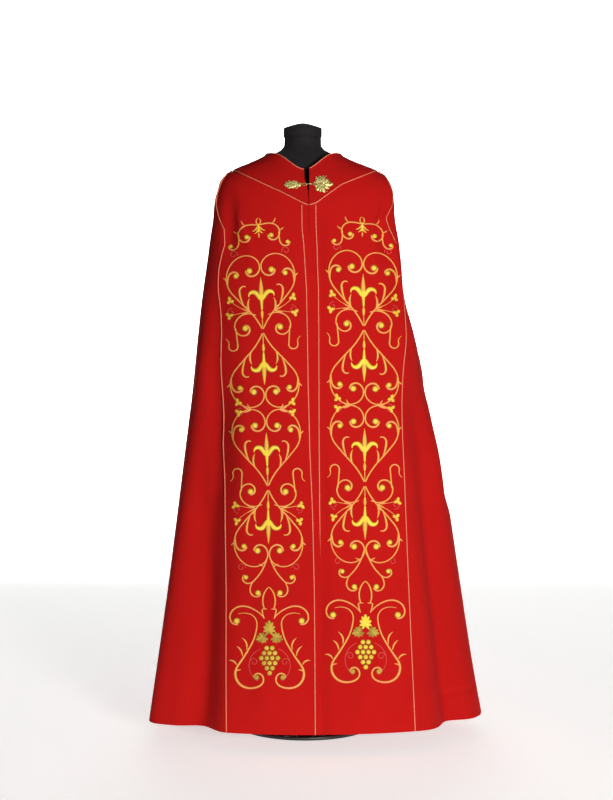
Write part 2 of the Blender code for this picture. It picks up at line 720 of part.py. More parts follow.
def make_clasp(metal):
    left, right = LEAVES
    make_leaf("clasp_leaf_left", left, metal)
    make_leaf("clasp_leaf_right", right, metal)
    centre, along_x, _, out = leaf_frame(left)
    other, other_along, _, other_out = leaf_frame(right)
    stem_left = centre + along_x * (left.length / 2) + out * (LINK_HEIGHT - GAP)
    stem_right = other - other_along * (right.length / 2) + other_out * (LINK_HEIGHT - GAP)
    line = (stem_right - stem_left).normalized()
    forward = (out + other_out).normalized()
    across = forward.cross(line).normalized()
    forward = line.cross(across).normalized()
    eye = stem_left + line * (GAP + WIRE + EYE_RADII[0])
    hook_start = 2 * EYE_RADII[0] - WIRE
    hook_reach = ((stem_right - stem_left).length - GAP - WIRE - hook_start) / 2
    hook = stem_left + line * (hook_start + hook_reach)
    make_link("clasp_eye", eye, line, across, EYE_RADII, metal)
    make_link("clasp_hook", hook, line, forward, (hook_reach, HOOK_HALF_DEPTH), metal)


def main():
    clear_scene()
    cloth = material("red_cloth", (0.45, 0.012, 0.012), 0.75)
    gold = material("gold_cord", (0.85, 0.42, 0.14), 0.5)
    brass = material("gold_plate", (0.62, 0.48, 0.16), 0.3, 1.0)
    black = material("form_cover", (0.012, 0.011, 0.012), 0.7)
    metal = material("black_metal", (0.02, 0.02, 0.02), 0.4, 0.6)
    make_panels(cloth)
    make_collar(cloth)
    make_cords(gold)
    make_clasp(brass)
    make_form(black, black)
    make_stand(metal)


main()
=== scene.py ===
import math

import bpy
import bmesh
import numpy as np
from mathutils import Matrix, Vector
from mathutils.bvhtree import BVHTree


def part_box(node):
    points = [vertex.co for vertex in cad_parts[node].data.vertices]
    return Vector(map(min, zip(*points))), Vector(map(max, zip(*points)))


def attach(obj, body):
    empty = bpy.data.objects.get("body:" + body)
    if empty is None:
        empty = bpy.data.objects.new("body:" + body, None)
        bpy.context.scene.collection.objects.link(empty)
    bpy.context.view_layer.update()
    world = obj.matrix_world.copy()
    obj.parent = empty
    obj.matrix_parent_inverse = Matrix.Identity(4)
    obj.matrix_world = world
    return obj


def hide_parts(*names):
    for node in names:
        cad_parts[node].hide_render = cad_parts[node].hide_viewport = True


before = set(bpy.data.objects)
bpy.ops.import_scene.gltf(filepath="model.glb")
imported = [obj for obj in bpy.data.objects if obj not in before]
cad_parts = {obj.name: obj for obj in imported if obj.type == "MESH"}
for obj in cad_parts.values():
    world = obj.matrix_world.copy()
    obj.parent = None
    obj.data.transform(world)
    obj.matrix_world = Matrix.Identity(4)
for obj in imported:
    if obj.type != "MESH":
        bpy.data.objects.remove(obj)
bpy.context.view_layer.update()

scene = bpy.context.scene
left, right = -1, 1                     # the garment's halves, by the sign of X
sideName = {left: "left", right: "right"}
bpy.ops.object.select_all(action="DESELECT")
print("frame loaded")

# where the camera stands, what it looks at, its lens and the picture's size
eye = Vector((0.003975, -5.0, 1.2))
aim = Vector((0.003975, 0.0, 0.8714))
focalLength, sensor = 85.089, 36        # mm, the sensor along the picture's long side
pictureSize = (613, 800)                # pixels


# colours and node helpers
def paint(code):                        # sRGB hex to linear
    parts = [int(code[k:k + 2], 16) / 255 for k in (1, 3, 5)]
    return tuple(p / 12.92 if p <= 0.04045 else ((p + 0.055) / 1.055) ** 2.4 for p in parts) + (1.0,)


def addNode(tree, kind, inputs=None, **settings):
    node = tree.nodes.new(kind)
    for key, value in settings.items():
        setattr(node, key, value)
    for socket, value in (inputs or {}).items():
        if isinstance(value, bpy.types.NodeSocket):
            tree.links.new(value, node.inputs[socket])
        else:
            node.inputs[socket].default_value = value
    return node


def newMaterial(name, **values):
    made = bpy.data.materials.new(name)
    made.use_nodes = True
    tree = made.node_tree
    shader = tree.nodes["Principled BSDF"]
    for socket, value in values.items():
        shader.inputs[socket.replace("_", " ")].default_value = value
    return made, tree, shader


def setRamp(node, stops):
    ramp = node.color_ramp
    while len(ramp.elements) < len(stops):
        ramp.elements.new(0.5)
    for element, (place, colour) in zip(ramp.elements, stops):
        element.position = place
        element.color = paint(colour)
    return node


# matt red wool-blend cloth: a fine rib weave that only shows close by, cloudy changes of the dye,
# and a soft fibre sheen at the edges of the folds
def makeRedCloth(name, base, deep):
    made, tree, shader = newMaterial(name, Roughness=0.9, Specular_IOR_Level=0.12, Sheen_Weight=0.06,
                                     Sheen_Roughness=0.5, Sheen_Tint=paint("#E8342A"))
    uv = addNode(tree, "ShaderNodeUVMap", uv_map="clothUv").outputs[0]
    ribs = []
    for scale, way in ((260.0, "X"), (310.0, "Y")):     # ribs 1.2 and 1.0 mm apart, the real ones 0.4 mm
        ribs.append(addNode(tree, "ShaderNodeTexWave", {"Vector": uv, "Scale": scale, "Distortion": 0.6,
                            "Detail": 1.0, "Detail Scale": 2.0}, wave_type="BANDS", bands_direction=way))
    warp, weft = ribs
    weave = addNode(tree, "ShaderNodeMath", {0: warp.outputs["Fac"], 1: weft.outputs["Fac"]},
                    operation="MULTIPLY")
    cloud = addNode(tree, "ShaderNodeTexNoise", {"Vector": uv, "Scale": 5.5, "Detail": 3.0,
                    "Roughness": 0.55})
    slub = addNode(tree, "ShaderNodeTexNoise", {"Vector": uv, "Scale": 420.0, "Detail": 2.0})
    cloudy = addNode(tree, "ShaderNodeMixRGB", {"Fac": cloud.outputs["Fac"], "Color1": paint(deep),
                     "Color2": paint(base)})
    fleck = addNode(tree, "ShaderNodeMapRange", {"Value": slub.outputs["Fac"], "From Min": 0.3,
                    "From Max": 0.7, "To Min": 0.93, "To Max": 1.06})
    tinted = addNode(tree, "ShaderNodeVectorMath", {0: cloudy.outputs["Color"], "Scale": fleck.outputs[0]},
                     operation="SCALE")
    tree.links.new(tinted.outputs[0], shader.inputs["Base Color"])
    height = addNode(tree, "ShaderNodeMath", {0: weave.outputs[0], 1: slub.outputs["Fac"]}, operation="ADD")
    bump = addNode(tree, "ShaderNodeBump", {"Height": height.outputs[0], "Strength": 0.22,
                   "Distance": 0.0005})
    tree.links.new(bump.outputs[0], shader.inputs["Normal"])
    return made


bandCloth = makeRedCloth("redBandCloth", "#C41512", "#B4100F")
bodyCloth = makeRedCloth("redBodyCloth", "#C21512", "#B0100E")
# painted shade: the collar's copy of the same red cloth is made darker, standing for the shade on the
# upturned collar
collarCloth = makeRedCloth("redCollarClothPaintedShade", "#BC1311", "#AA0F0E")


# gold rayon satin stitch: threads lie side by side across each shape; hue runs from salmon stems
# over yellow fills to olive, and the edges of every line and round are painted olive-brown as shade
def makeStitchGold():
    threadSpacing = 0.9                 # mm, coarser than the real 0.4 mm so that it shows
    made, tree, shader = newMaterial("goldSatinStitch", Roughness=0.42, Specular_IOR_Level=0.5)
    uv = addNode(tree, "ShaderNodeUVMap", uv_map="stitchUv")
    split = addNode(tree, "ShaderNodeSeparateXYZ", {"Vector": uv.outputs[0]})
    hue = addNode(tree, "ShaderNodeAttribute", attribute_name="hue")
    tone = setRamp(addNode(tree, "ShaderNodeValToRGB", {"Fac": hue.outputs["Fac"]}),
                   [(0.0, "#FA9C58"), (0.35, "#FFC03C"), (0.65, "#FFE23C"), (1.0, "#946A10")])
    centred = addNode(tree, "ShaderNodeMath", {0: split.outputs["X"], 1: 0.5}, operation="SUBTRACT")
    away = addNode(tree, "ShaderNodeMath", {0: centred.outputs[0]}, operation="ABSOLUTE")
    # painted shade: towards both edges of a line the colour is mixed to olive-brown, where the thread turns
    # down into the cloth
    rim = addNode(tree, "ShaderNodeMapRange", {"Value": away.outputs[0], "From Min": 0.20, "From Max": 0.44,
                  "To Min": 0.0, "To Max": 0.95})
    paintedEdgeShade = addNode(tree, "ShaderNodeMixRGB", {"Fac": rim.outputs[0], "Color1": tone.outputs["Color"],
                    "Color2": paint("#743204")})
    tree.links.new(paintedEdgeShade.outputs["Color"], shader.inputs["Base Color"])
    slant = addNode(tree, "ShaderNodeMath", {0: split.outputs["X"], 1: 0.0028}, operation="MULTIPLY")
    run = addNode(tree, "ShaderNodeMath", {0: split.outputs["Y"], 1: slant.outputs[0]}, operation="ADD")
    thread = addNode(tree, "ShaderNodeMath", {0: run.outputs[0], 1: 6283.0 / threadSpacing},
                     operation="MULTIPLY")          # 2 pi a thread, with the spacing in mm
    wave = addNode(tree, "ShaderNodeMath", {0: thread.outputs[0]}, operation="SINE")
    bump = addNode(tree, "ShaderNodeBump", {"Height": wave.outputs[0], "Strength": 0.35, "Distance": 0.0003})
    tree.links.new(bump.outputs[0], shader.inputs["Normal"])
    return made


goldStitch = makeStitchGold()
# dull rose thread of the thin tendrils, one strand wide, so it stays close to the red
roseStitch = newMaterial("roseTendrilThread", Base_Color=paint("#CC4038"), Roughness=0.6, Sheen_Weight=0.2)[0]


# twisted gold piping cord: two strands wound round each other, their crowns painted pale as highlight and the
# grooves between them painted darker as shade
def makeCordGold():
    strandPitch, fullTurn = 0.0065, 6.2832          # metres from strand to strand, radians in a turn
    made, tree, shader = newMaterial("goldPipingCord", Roughness=0.5, Metallic=0.1, Specular_IOR_Level=0.45)
    uv = addNode(tree, "ShaderNodeUVMap", uv_map="cordUv")
    split = addNode(tree, "ShaderNodeSeparateXYZ", {"Vector": uv.outputs[0]})
    turns = addNode(tree, "ShaderNodeMath", {0: split.outputs["Y"], 1: 2 * fullTurn / strandPitch},
                    operation="MULTIPLY")
    wrapped = addNode(tree, "ShaderNodeMath", {0: split.outputs["X"], 1: 2 * fullTurn}, operation="MULTIPLY")
    phase = addNode(tree, "ShaderNodeMath", {0: turns.outputs[0], 1: wrapped.outputs[0]}, operation="ADD")
    strand = addNode(tree, "ShaderNodeMath", {0: phase.outputs[0]}, operation="SINE")
    lift = addNode(tree, "ShaderNodeMapRange", {"Value": strand.outputs[0], "From Min": -1.0,
                   "From Max": 1.0})
    # painted highlight and shade: the colour follows the strands' height, pale on the crowns and darker in
    # the grooves
    tone = addNode(tree, "ShaderNodeMixRGB", {"Fac": lift.outputs[0], "Color1": paint("#DC6244"),
                   "Color2": paint("#FF9C7A")})
    tree.links.new(tone.outputs["Color"], shader.inputs["Base Color"])
    bump = addNode(tree, "ShaderNodeBump", {"Height": lift.outputs[0], "Strength": 0.5, "Distance": 0.0004})
    tree.links.new(bump.outputs[0], shader.inputs["Normal"])
    return made


cordGold = makeCordGold()


# gilt brass casting, bright where it is rubbed and brown in its hollows
def makeGilt():
    made, tree, shader = newMaterial("giltBrass", Roughness=0.4, Metallic=0.6)
    place = addNode(tree, "ShaderNodeTexCoord")
    grain = addNode(tree, "ShaderNodeTexNoise", {"Vector": place.outputs["Object"], "Scale": 260.0,
                    "Detail": 3.0})
    spots = addNode(tree, "ShaderNodeMapRange", {"Value": grain.outputs["Fac"], "From Min": 0.36,
                    "From Max": 0.62})
    tone = addNode(tree, "ShaderNodeMixRGB", {"Fac": spots.outputs[0], "Color1": paint("#7E6E26"),
                   "Color2": paint("#FAEE9E")})
    tree.links.new(tone.outputs["Color"], shader.inputs["Base Color"])
    bump = addNode(tree, "ShaderNodeBump", {"Height": grain.outputs["Fac"], "Strength": 0.6,
                   "Distance": 0.0008})
    tree.links.new(bump.outputs[0], shader.inputs["Normal"])
    return made


gilt = makeGilt()


# black cotton jersey stretched over the padded form: faint knit ribs and a dusty grazing edge
def makeJersey():
    made, tree, shader = newMaterial("blackJersey", Roughness=0.82, Specular_IOR_Level=0.3, Sheen_Weight=0.25,
                                     Sheen_Tint=paint("#6A6670"))
    place = addNode(tree, "ShaderNodeTexCoord")
    knit = addNode(tree, "ShaderNodeTexWave", {"Vector": place.outputs["Object"], "Scale": 300.0,
                   "Distortion": 1.2, "Detail": 2.0}, wave_type="BANDS", bands_direction="X")
    lint = addNode(tree, "ShaderNodeTexNoise", {"Vector": place.outputs["Object"], "Scale": 60.0,
                   "Detail": 4.0})
    tone = addNode(tree, "ShaderNodeMixRGB", {"Fac": lint.outputs["Fac"], "Color1": paint("#121012"),
                   "Color2": paint("#242023")})
    tree.links.new(tone.outputs["Color"], shader.inputs["Base Color"])
    bump = addNode(tree, "ShaderNodeBump", {"Height": knit.outputs["Fac"], "Strength": 0.15,
                   "Distance": 0.0004})
    tree.links.new(bump.outputs[0], shader.inputs["Normal"])
    return made


jersey = makeJersey()


# satin black powder coat on the steel stand, with its fine orange peel
def makePowderCoat():
    made, tree, shader = newMaterial("blackPowderCoat", Base_Color=paint("#1B1B1C"), Roughness=0.42)
    place = addNode(tree, "ShaderNodeTexCoord")
    peel = addNode(tree, "ShaderNodeTexNoise", {"Vector": place.outputs["Object"], "Scale": 500.0,
                   "Detail": 2.0})
    bump = addNode(tree, "ShaderNodeBump", {"Height": peel.outputs["Fac"], "Strength": 0.25,
                   "Distance": 0.0003})
    tree.links.new(bump.outputs[0], shader.inputs["Normal"])
    return made


powderCoat = makePowderCoat()
print("materials made")

# the worn cloth as tilted sections from the neck edge to the hem: heights of side, front and back,
# half widths left and right, depth of side, front and back, flatness, and drop at the shoulder
sideZ, frontZ, backZ, leftWidth, rightWidth, sideY, frontY, backY, flatness, drop = range(10)
sections = np.array([
    (1.5150, 1.472, 1.528, 0.100, 0.092, 0.000, -0.112, 0.085, 1.00, 8.0),
    (1.4985, 1.454, 1.513, 0.132, 0.124, 0.000, -0.122, 0.100, 0.95, 5.0),
    (1.4715, 1.412, 1.477, 0.196, 0.193, 0.002, -0.134, 0.125, 0.85, 3.0),
    (1.4510, 1.378, 1.445, 0.221, 0.219, 0.004, -0.143, 0.138, 0.80, 2.5),
    (1.4250, 1.340, 1.405, 0.230, 0.231, 0.005, -0.150, 0.150, 0.78, 2.2),
    (1.3950, 1.300, 1.355, 0.238, 0.2345, 0.005, -0.157, 0.160, 0.76, 2.0),
    (1.3500, 1.262, 1.305, 0.242, 0.238, 0.004, -0.163, 0.170, 0.74, 2.0),
    (1.3000, 1.228, 1.262, 0.250, 0.246, 0.003, -0.168, 0.178, 0.72, 2.0),
    (1.2400, 1.192, 1.215, 0.2575, 0.253, 0.002, -0.174, 0.187, 0.72, 2.0),
    (1.1360, 1.112, 1.125, 0.272, 0.263, 0.000, -0.184, 0.205, 0.72, 2.0),
    (1.0400, 1.030, 1.035, 0.2825, 0.2865, -0.004, -0.196, 0.225, 0.72, 2.0),
    (0.8950, 0.895, 0.895, 0.297, 0.3185, -0.010, -0.216, 0.256, 0.72, 2.0),
    (0.7350, 0.735, 0.735, 0.317, 0.3585, -0.018, -0.237, 0.290, 0.73, 2.0),
    (0.5600, 0.560, 0.560, 0.338, 0.3805, -0.028, -0.259, 0.322, 0.74, 2.0),
    (0.3750, 0.375, 0.375, 0.3605, 0.4065, -0.040, -0.281, 0.350, 0.76, 2.0),
    (0.1900, 0.190, 0.190, 0.3870, 0.4345, -0.050, -0.300, 0.375, 0.78, 2.0),
    (0.0450, 0.048, 0.045, 0.409, 0.4605, -0.058, -0.313, 0.392, 0.80, 2.0)])

# seen from the front: height, then the X of the left seam, left edge, right edge and right seam
seams = np.array([
    (1.530, -0.150, -0.0035, 0.0110, 0.150), (1.473, -0.198, -0.0030, 0.0110, 0.201),
    (1.445, -0.216, -0.0010, 0.0112, 0.216), (1.418, -0.226, 0.0078, 0.0105, 0.226),
    (1.389, -0.231, 0.0090, 0.0100, 0.226), (1.350, -0.222, 0.0096, 0.0103, 0.214),
    (1.320, -0.211, 0.0101, 0.0110, 0.222), (1.280, -0.208, 0.0142, 0.0131, 0.238),
    (1.220, -0.221, 0.0180, 0.0150, 0.248), (1.166, -0.2245, 0.0211, 0.0171, 0.2525),
    (1.050, -0.2205, 0.0235, 0.0176, 0.2565), (0.930, -0.223, 0.0255, 0.0178, 0.254),
    (0.770, -0.225, 0.0290, 0.0182, 0.252), (0.600, -0.2095, 0.0365, 0.0197, 0.256),
    (0.400, -0.2025, 0.0410, 0.0207, 0.2635), (0.040, -0.198, 0.0436, 0.0225, 0.2795)])
seamColumn = {(left, "seam"): 1, (left, "edge"): 2, (right, "edge"): 3, (right, "seam"): 4}

# how far the right front's edge is let in under the left one, by height
lapHeights, lapDepths = (0.0, 0.690, 0.850, 1.340, 1.385), (0.0046, 0.0046, 0.0026, 0.0025, 0.0)
lapReach = (0.022, 0.052)

# long folds: half, place round it (0 front edge, 1 side seam, 2 centre back), reach, depth at the
# hem (+ ridge, - trough), where it starts and where it is full
folds = [
    (left, 1.085, 0.085, -0.026, 0.80, 0.10), (left, 1.235, 0.080, 0.006, 0.80, 0.10),
    (left, 1.500, 0.100, -0.034, 1.25, 0.05), (left, 1.625, 0.090, 0.022, 1.25, 0.05),
    (left, 1.760, 0.100, -0.040, 1.30, 0.05), (left, 2.000, 0.150, 0.020, 1.30, 0.05),
    (right, 1.130, 0.105, -0.037, 1.00, 0.10), (right, 1.320, 0.080, 0.008, 0.90, 0.10),
    (right, 1.480, 0.095, -0.030, 1.20, 0.05), (right, 1.600, 0.085, 0.020, 1.25, 0.05),
    (right, 1.740, 0.110, -0.042, 1.30, 0.05), (right, 2.000, 0.150, 0.020, 1.30, 0.05)]
# soft hollows in front of the arm: half, X, height, half width, half height, depth
hollows = [(left, 0.193, 1.330, 0.030, 0.115, -0.010), (right, 0.205, 1.320, 0.028, 0.120, -0.009)]

# creases listed one by one: half, points (place, height) along each, half width in metres, depth
# (+ ridge, - trough); each one fades out over fadeShare of its length at both ends
fadeShare = 0.18
creases = [
    (left, [(0.985, 1.200), (0.98, 0.900), (0.99, 0.580)], 0.074, -0.0090),
    (left, [(1.02, 1.180), (1.03, 0.900), (1.05, 0.520)], 0.040, -0.0035),
    (left, [(1.04, 1.000), (1.07, 0.600), (1.09, 0.300), (1.12, -0.100)], 0.120, -0.0290),
    (left, [(0.70, 1.375), (0.66, 1.300), (0.64, 1.200)], 0.026, 0.0022),
    (left, [(1.09, 1.120), (1.13, 0.850), (1.19, 0.450), (1.24, -0.100)], 0.050, 0.0085),
    (left, [(1.26, 1.420), (1.26, 1.250), (1.28, 1.080), (1.32, 0.860)], 0.040, -0.0080),
    (left, [(0.55, 0.420), (0.60, 0.250), (0.63, 0.060)], 0.045, 0.0040),
    (left, [(1.40, 1.360), (1.42, 1.200), (1.46, 0.980), (1.48, 0.700)], 0.034, 0.0050),
    (left, [(1.62, 1.340), (1.60, 1.180), (1.58, 0.980)], 0.030, -0.0040),
    (left, [(1.86, 1.300), (1.87, 1.100), (1.88, 0.820), (1.87, 0.400)], 0.034, 0.0060),
    (right, [(0.98, 1.470), (0.94, 1.350), (0.935, 1.260), (0.96, 1.120), (0.98, 0.960)], 0.020, 0.0075),
    (right, [(1.06, 1.440), (1.03, 1.340), (1.03, 1.250), (1.05, 1.120), (1.06, 0.940)], 0.024, -0.0070),
    (right, [(0.82, 1.390), (0.80, 1.320), (0.82, 1.220)], 0.018, -0.0030),
    (right, [(0.62, 1.370), (0.60, 1.290), (0.62, 1.180)], 0.026, 0.0020),
    (right, [(1.18, 1.390), (1.15, 1.250), (1.14, 1.080), (1.17, 0.900)], 0.028, -0.0035),
    (right, [(1.28, 1.340), (1.26, 1.150), (1.28, 0.950), (1.30, 0.760)], 0.040, 0.0050),
    (right, [(1.08, 1.020), (1.13, 0.600), (1.17, 0.300), (1.175, -0.120)], 0.115, -0.0300),
    (right, [(1.34, 0.680), (1.36, 0.450), (1.37, 0.300), (1.38, -0.120)], 0.070, 0.0060),
    (right, [(1.28, 0.960), (1.29, 0.820), (1.30, 0.700), (1.32, 0.560)], 0.110, -0.0060),
    (right, [(1.13, 0.110), (1.20, 0.118), (1.28, 0.122)], 0.010, -0.0040),
    (right, [(0.50, 0.380), (0.46, 0.220), (0.47, 0.060)], 0.035, 0.0026),
    (right, [(1.66, 1.330), (1.65, 1.120), (1.62, 0.900)], 0.030, -0.0040),
    (right, [(1.84, 1.290), (1.85, 1.080), (1.87, 0.780), (1.86, 0.380)], 0.034, 0.0060)]


def softStep(value):
    value = np.clip(value, 0.0, 1.0)
    return value * value * (3.0 - 2.0 * value)


def hump(away):
    # 1 in the middle of a fold, falling softly to 0 where away reaches 1
    return np.where(away < 1, 0.5 + 0.5 * np.cos(math.pi * np.minimum(away, 1)), 0)


def arcLengths(points, axis=0):
    # how far along each point lies, on one line of points or on every line of a grid
    steps = np.cumsum(np.linalg.norm(np.diff(points, axis=axis), axis=-1), axis)
    return np.concatenate([np.zeros_like(np.take(steps, [0], axis)), steps], axis)


def rowsAt(levels):
    # a smooth curve through the rows of the section table
    levels = np.asarray(levels, float)
    first = np.clip(levels.astype(int), 0, len(sections) - 2)
    part = (levels - first)[..., None]
    a, b = sections[np.maximum(first - 1, 0)], sections[first]
    c, d = sections[first + 1], sections[np.minimum(first + 2, len(sections) - 1)]
    squared, cubed = part ** 2, part ** 3
    return ((2 * cubed - 3 * squared + 1) * b + (cubed - 2 * squared + part) * (c - a) / 2
            + (3 * squared - 2 * cubed) * c + (cubed - squared) * (d - b) / 2)


def outlineAt(half, rows, angle):
    # a section seen from above: angle 0 at the front, a quarter turn at the side, half a turn at the back
    lean = np.abs(np.cos(angle))
    front = angle < math.pi / 2
    farY = np.where(front, rows[..., frontY], rows[..., backY])
    farZ = np.where(front, rows[..., frontZ], rows[..., backZ])
    width = rows[..., leftWidth if half == left else rightWidth]
    return np.stack([half * width * np.sin(angle),
                     rows[..., sideY] + (farY - rows[..., sideY]) * lean ** rows[..., flatness],
                     rows[..., sideZ] + (farZ - rows[..., sideZ]) * lean ** rows[..., drop]], -1)


def seamAngle(half, rows, line):
    # the angle at which each section meets a line of the seam table
    low, high = np.full(len(rows), -0.5), np.full(len(rows), math.radians(86))
    for _ in range(34):                 # halved until it is far finer than the cloth
        middle = (low + high) / 2
        point = outlineAt(half, rows, middle)
        wanted = np.interp(point[:, 2], seams[::-1, 0], seams[::-1, seamColumn[half, line]])
        past = (point[:, 0] - wanted) * half > 0
        high, low = np.where(past, middle, high), np.where(past, low, middle)
    return (low + high) / 2


outlinePoints = 361                     # to measure along each section's outline


def anglesOf(half, rows, places):
    # equal parts of the outline's length, first over the band and then over the body
    edge, seam = seamAngle(half, rows, "edge"), seamAngle(half, rows, "seam")
    angles = np.zeros((len(rows), len(places)))
    bandLengths = np.zeros(len(rows))
    for i in range(len(rows)):
        for start, end, base in ((edge[i], seam[i], 0.0), (seam[i], math.pi, 1.0)):
            turn = np.linspace(start, end, outlinePoints)
            run = outlineAt(half, rows[i][None], turn)
            lengths = arcLengths(run)
            inside = (places >= base) & (places <= base + 1) if base else places < 1
            angles[i, inside] = np.interp((places[inside] - base) * lengths[-1], lengths, turn)
            if not base:
                bandLengths[i] = lengths[-1]
    return angles, bandLengths


def reliefOf(half, places, points, distance):
    # how far the long folds, the hollows and the lap move the cloth outwards
    moved = np.zeros(points.shape[:2])
    height = points[..., 2]
    for side, place, reach, depth, top, full in folds:
        if side == half:
            away = np.abs(places - place) / reach
            grown = softStep((top - height) / (top - full))
            moved += depth * grown * hump(away)
    for side, x, z, halfWidth, halfHeight, depth in hollows:
        if side == half:
            away = np.hypot((np.abs(points[..., 0]) - x) / halfWidth, (height - z) / halfHeight)
            moved += np.where(points[..., 1] < 0, depth * hump(away), 0)
    if half == right:
        fade = 1 - softStep((distance - lapReach[0]) / (lapReach[1] - lapReach[0]))
        moved -= np.where(places < 1, np.interp(height, lapHeights, lapDepths) * fade, 0)
    return moved


def creaseOf(half, places, points):
    # the table's soft creases; how far a point is from one is measured along its row of the cloth
    moved = np.zeros(points.shape[:2])
    height = points[..., 2]
    run = arcLengths(points, 1)
    for side, path, halfWidth, depth in creases:
        if side == half:
            tops = np.array([z for _, z in path])[::-1]
            spots = np.array([p for p, _ in path])[::-1]
            if abs(tops[-1] - tops[0]) > 0.03:
                middle = np.interp(height, tops, spots)
                spot = np.clip(np.searchsorted(places, middle) - 1, 0, len(places) - 2)
                part = (middle - places[spot]) / (places[spot + 1] - places[spot])
                before, after = np.take_along_axis(run, spot, 1), np.take_along_axis(run, spot + 1, 1)
                away = np.abs(run - (before * (1 - part) + after * part)) / halfWidth
                span = (height - tops[0]) / (tops[-1] - tops[0])
            else:                        # a crease that runs across the cloth
                order = np.argsort(spots)
                away = np.abs(height - np.interp(places, spots[order], tops[order])[None]) / halfWidth
                span = np.broadcast_to((places - spots.min()) / (spots.max() - spots.min()), height.shape)
            ends = softStep(span / fadeShare) * softStep((1 - span) / fadeShare)
            moved += depth * ends * hump(away)
    return moved


# one master grid for all the cloth: rows by height, columns right round from the left front edge
# (0) over the left seam (1), centre back (2) and right seam (3) to the right front edge (4)
hemLevel = len(sections) - 1            # a level is a row of the section table, or a part between two
levelScale = np.linspace(0, hemLevel, 100 * hemLevel + 1)
rowCount, bandColumns, sideColumns, backColumns = 212, 47, 74, 68
sideHeights = rowsAt(levelScale)[:, sideZ]
fallen = (sideHeights[0] - sideHeights) / (sideHeights[0] - sideHeights[-1])
levels = np.interp(np.linspace(0, 1, rowCount), fallen, levelScale)
sideSeam = 1 + 14 / 27                  # where the side panel meets the back panel
bandPlaces = np.linspace(0, 1, bandColumns)
sidePlaces, backPlaces = np.linspace(1, sideSeam, sideColumns), np.linspace(sideSeam, 2, backColumns)
halfPlaces = np.concatenate([bandPlaces, sidePlaces[1:], backPlaces[1:]])
rows = rowsAt(levels)
halfGrids, rawGrids, halfAngles = {}, {}, {}
nearby = 0.03                           # radians to each side, for the direction of the outline
for half in (left, right):
    angles, bandLengths = anglesOf(half, rows, halfPlaces)
    points = outlineAt(half, rows[:, None, :], angles)
    ahead = outlineAt(half, rows[:, None, :], np.minimum(math.pi, angles + nearby))
    run = ahead - outlineAt(half, rows[:, None, :], angles - nearby)
    out = np.stack([run[..., 1] * half, -run[..., 0] * half, np.zeros(run.shape[:2])], -1)
    out /= np.linalg.norm(out, axis=-1, keepdims=True)
    distance = halfPlaces[None] * bandLengths[:, None]
    moved = reliefOf(half, halfPlaces[None], points, distance) + creaseOf(half, halfPlaces, points)
    halfGrids[half] = points + out * moved[..., None]
    rawGrids[half], halfAngles[half] = points, angles

cloth = np.concatenate([halfGrids[left], halfGrids[right][:, -2::-1]], 1)
around = np.concatenate([halfPlaces, 4 - halfPlaces[-2::-1]])
downRun, sideRun = np.gradient(cloth, axis=0), np.gradient(cloth, axis=1)
clothOut = np.cross(sideRun, downRun)
clothOut /= np.linalg.norm(clothOut, axis=-1, keepdims=True)
print("cloth surface worked out", cloth.shape)


def clothAt(level, place):
    # point and outward direction of the cloth at any level and place, between the grid's points
    level, place = np.broadcast_arrays(np.asarray(level, float), np.asarray(place, float))
    r = np.clip(np.interp(level, levels, np.arange(rowCount)), 0, rowCount - 1.0001)
    c = np.clip(np.interp(place, around, np.arange(len(around))), 0, len(around) - 1.0001)
    i, j = r.astype(int), c.astype(int)
    u, v = (r - i)[..., None], (c - j)[..., None]
    found = []
    for grid in (cloth, clothOut):
        found.append((grid[i, j] * (1 - u) + grid[i + 1, j] * u) * (1 - v)
                     + (grid[i, j + 1] * (1 - u) + grid[i + 1, j + 1] * u) * v)
    return found[0], found[1] / np.linalg.norm(found[1], axis=-1, keepdims=True)


def gridQuads(number):
    return np.stack([number[:-1, :-1], number[:-1, 1:], number[1:, 1:], number[1:, :-1]], -1).reshape(-1, 4)


def tubeFaces(count, sides):
    # rings of points joined up, with a cap at each end
    number = np.arange(count * sides).reshape(count, sides)
    nxt = np.roll(number, -1, 1)
    faces = np.stack([number[:-1], nxt[:-1], nxt[1:], number[1:]], -1).reshape(-1, 4).tolist()
    return faces + [number[0, ::-1].tolist(), number[-1].tolist()]


def finishMesh(name, verts, faces, material, uvs=None, uvName="clothUv"):
    # a smooth mesh in the scene, its place already in its points, riding on the one body
    mesh = bpy.data.meshes.new(name)
    mesh.from_pydata([tuple(v) for v in verts], [], [tuple(f) for f in faces])
    if uvs is not None:
        layer = mesh.uv_layers.new(name=uvName)
        corner = np.empty(len(mesh.loops), int)
        mesh.loops.foreach_get("vertex_index", corner)
        layer.data.foreach_set("uv", np.asarray(uvs, float)[corner].ravel())
    mesh.polygons.foreach_set("use_smooth", [True] * len(mesh.polygons))
    mesh.materials.append(material)
    mesh.update()
    made = bpy.data.objects.new(name, mesh)
    scene.collection.objects.link(made)
    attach(made, "root")
    return made


def makeSheet(name, points, outward, low, high, material):
    # a closed thin wall over a grid: outer face, inner face and a rim all round
    count, width = points.shape[:2]
    outer, inner = points + outward * high, points + outward * low
    number = np.arange(count * width).reshape(count, width)
    quads = gridQuads(number)
    loop = np.concatenate([number[0, :-1], number[:-1, -1], number[-1, :0:-1], number[:0:-1, 0]])
    after, back = np.roll(loop, -1), count * width
    rim = np.stack([after, loop, loop + back, after + back], -1)
    faces = np.concatenate([quads, quads[:, ::-1] + back, rim])
    uvs = np.tile(np.stack([arcLengths(points, 1), arcLengths(points, 0)], -1).reshape(-1, 2), (2, 1))
    made = finishMesh(name, np.concatenate([outer, inner]).reshape(-1, 3), faces, material, uvs)
    made.data.set_sharp_from_angle(angle=math.radians(50))
    return made


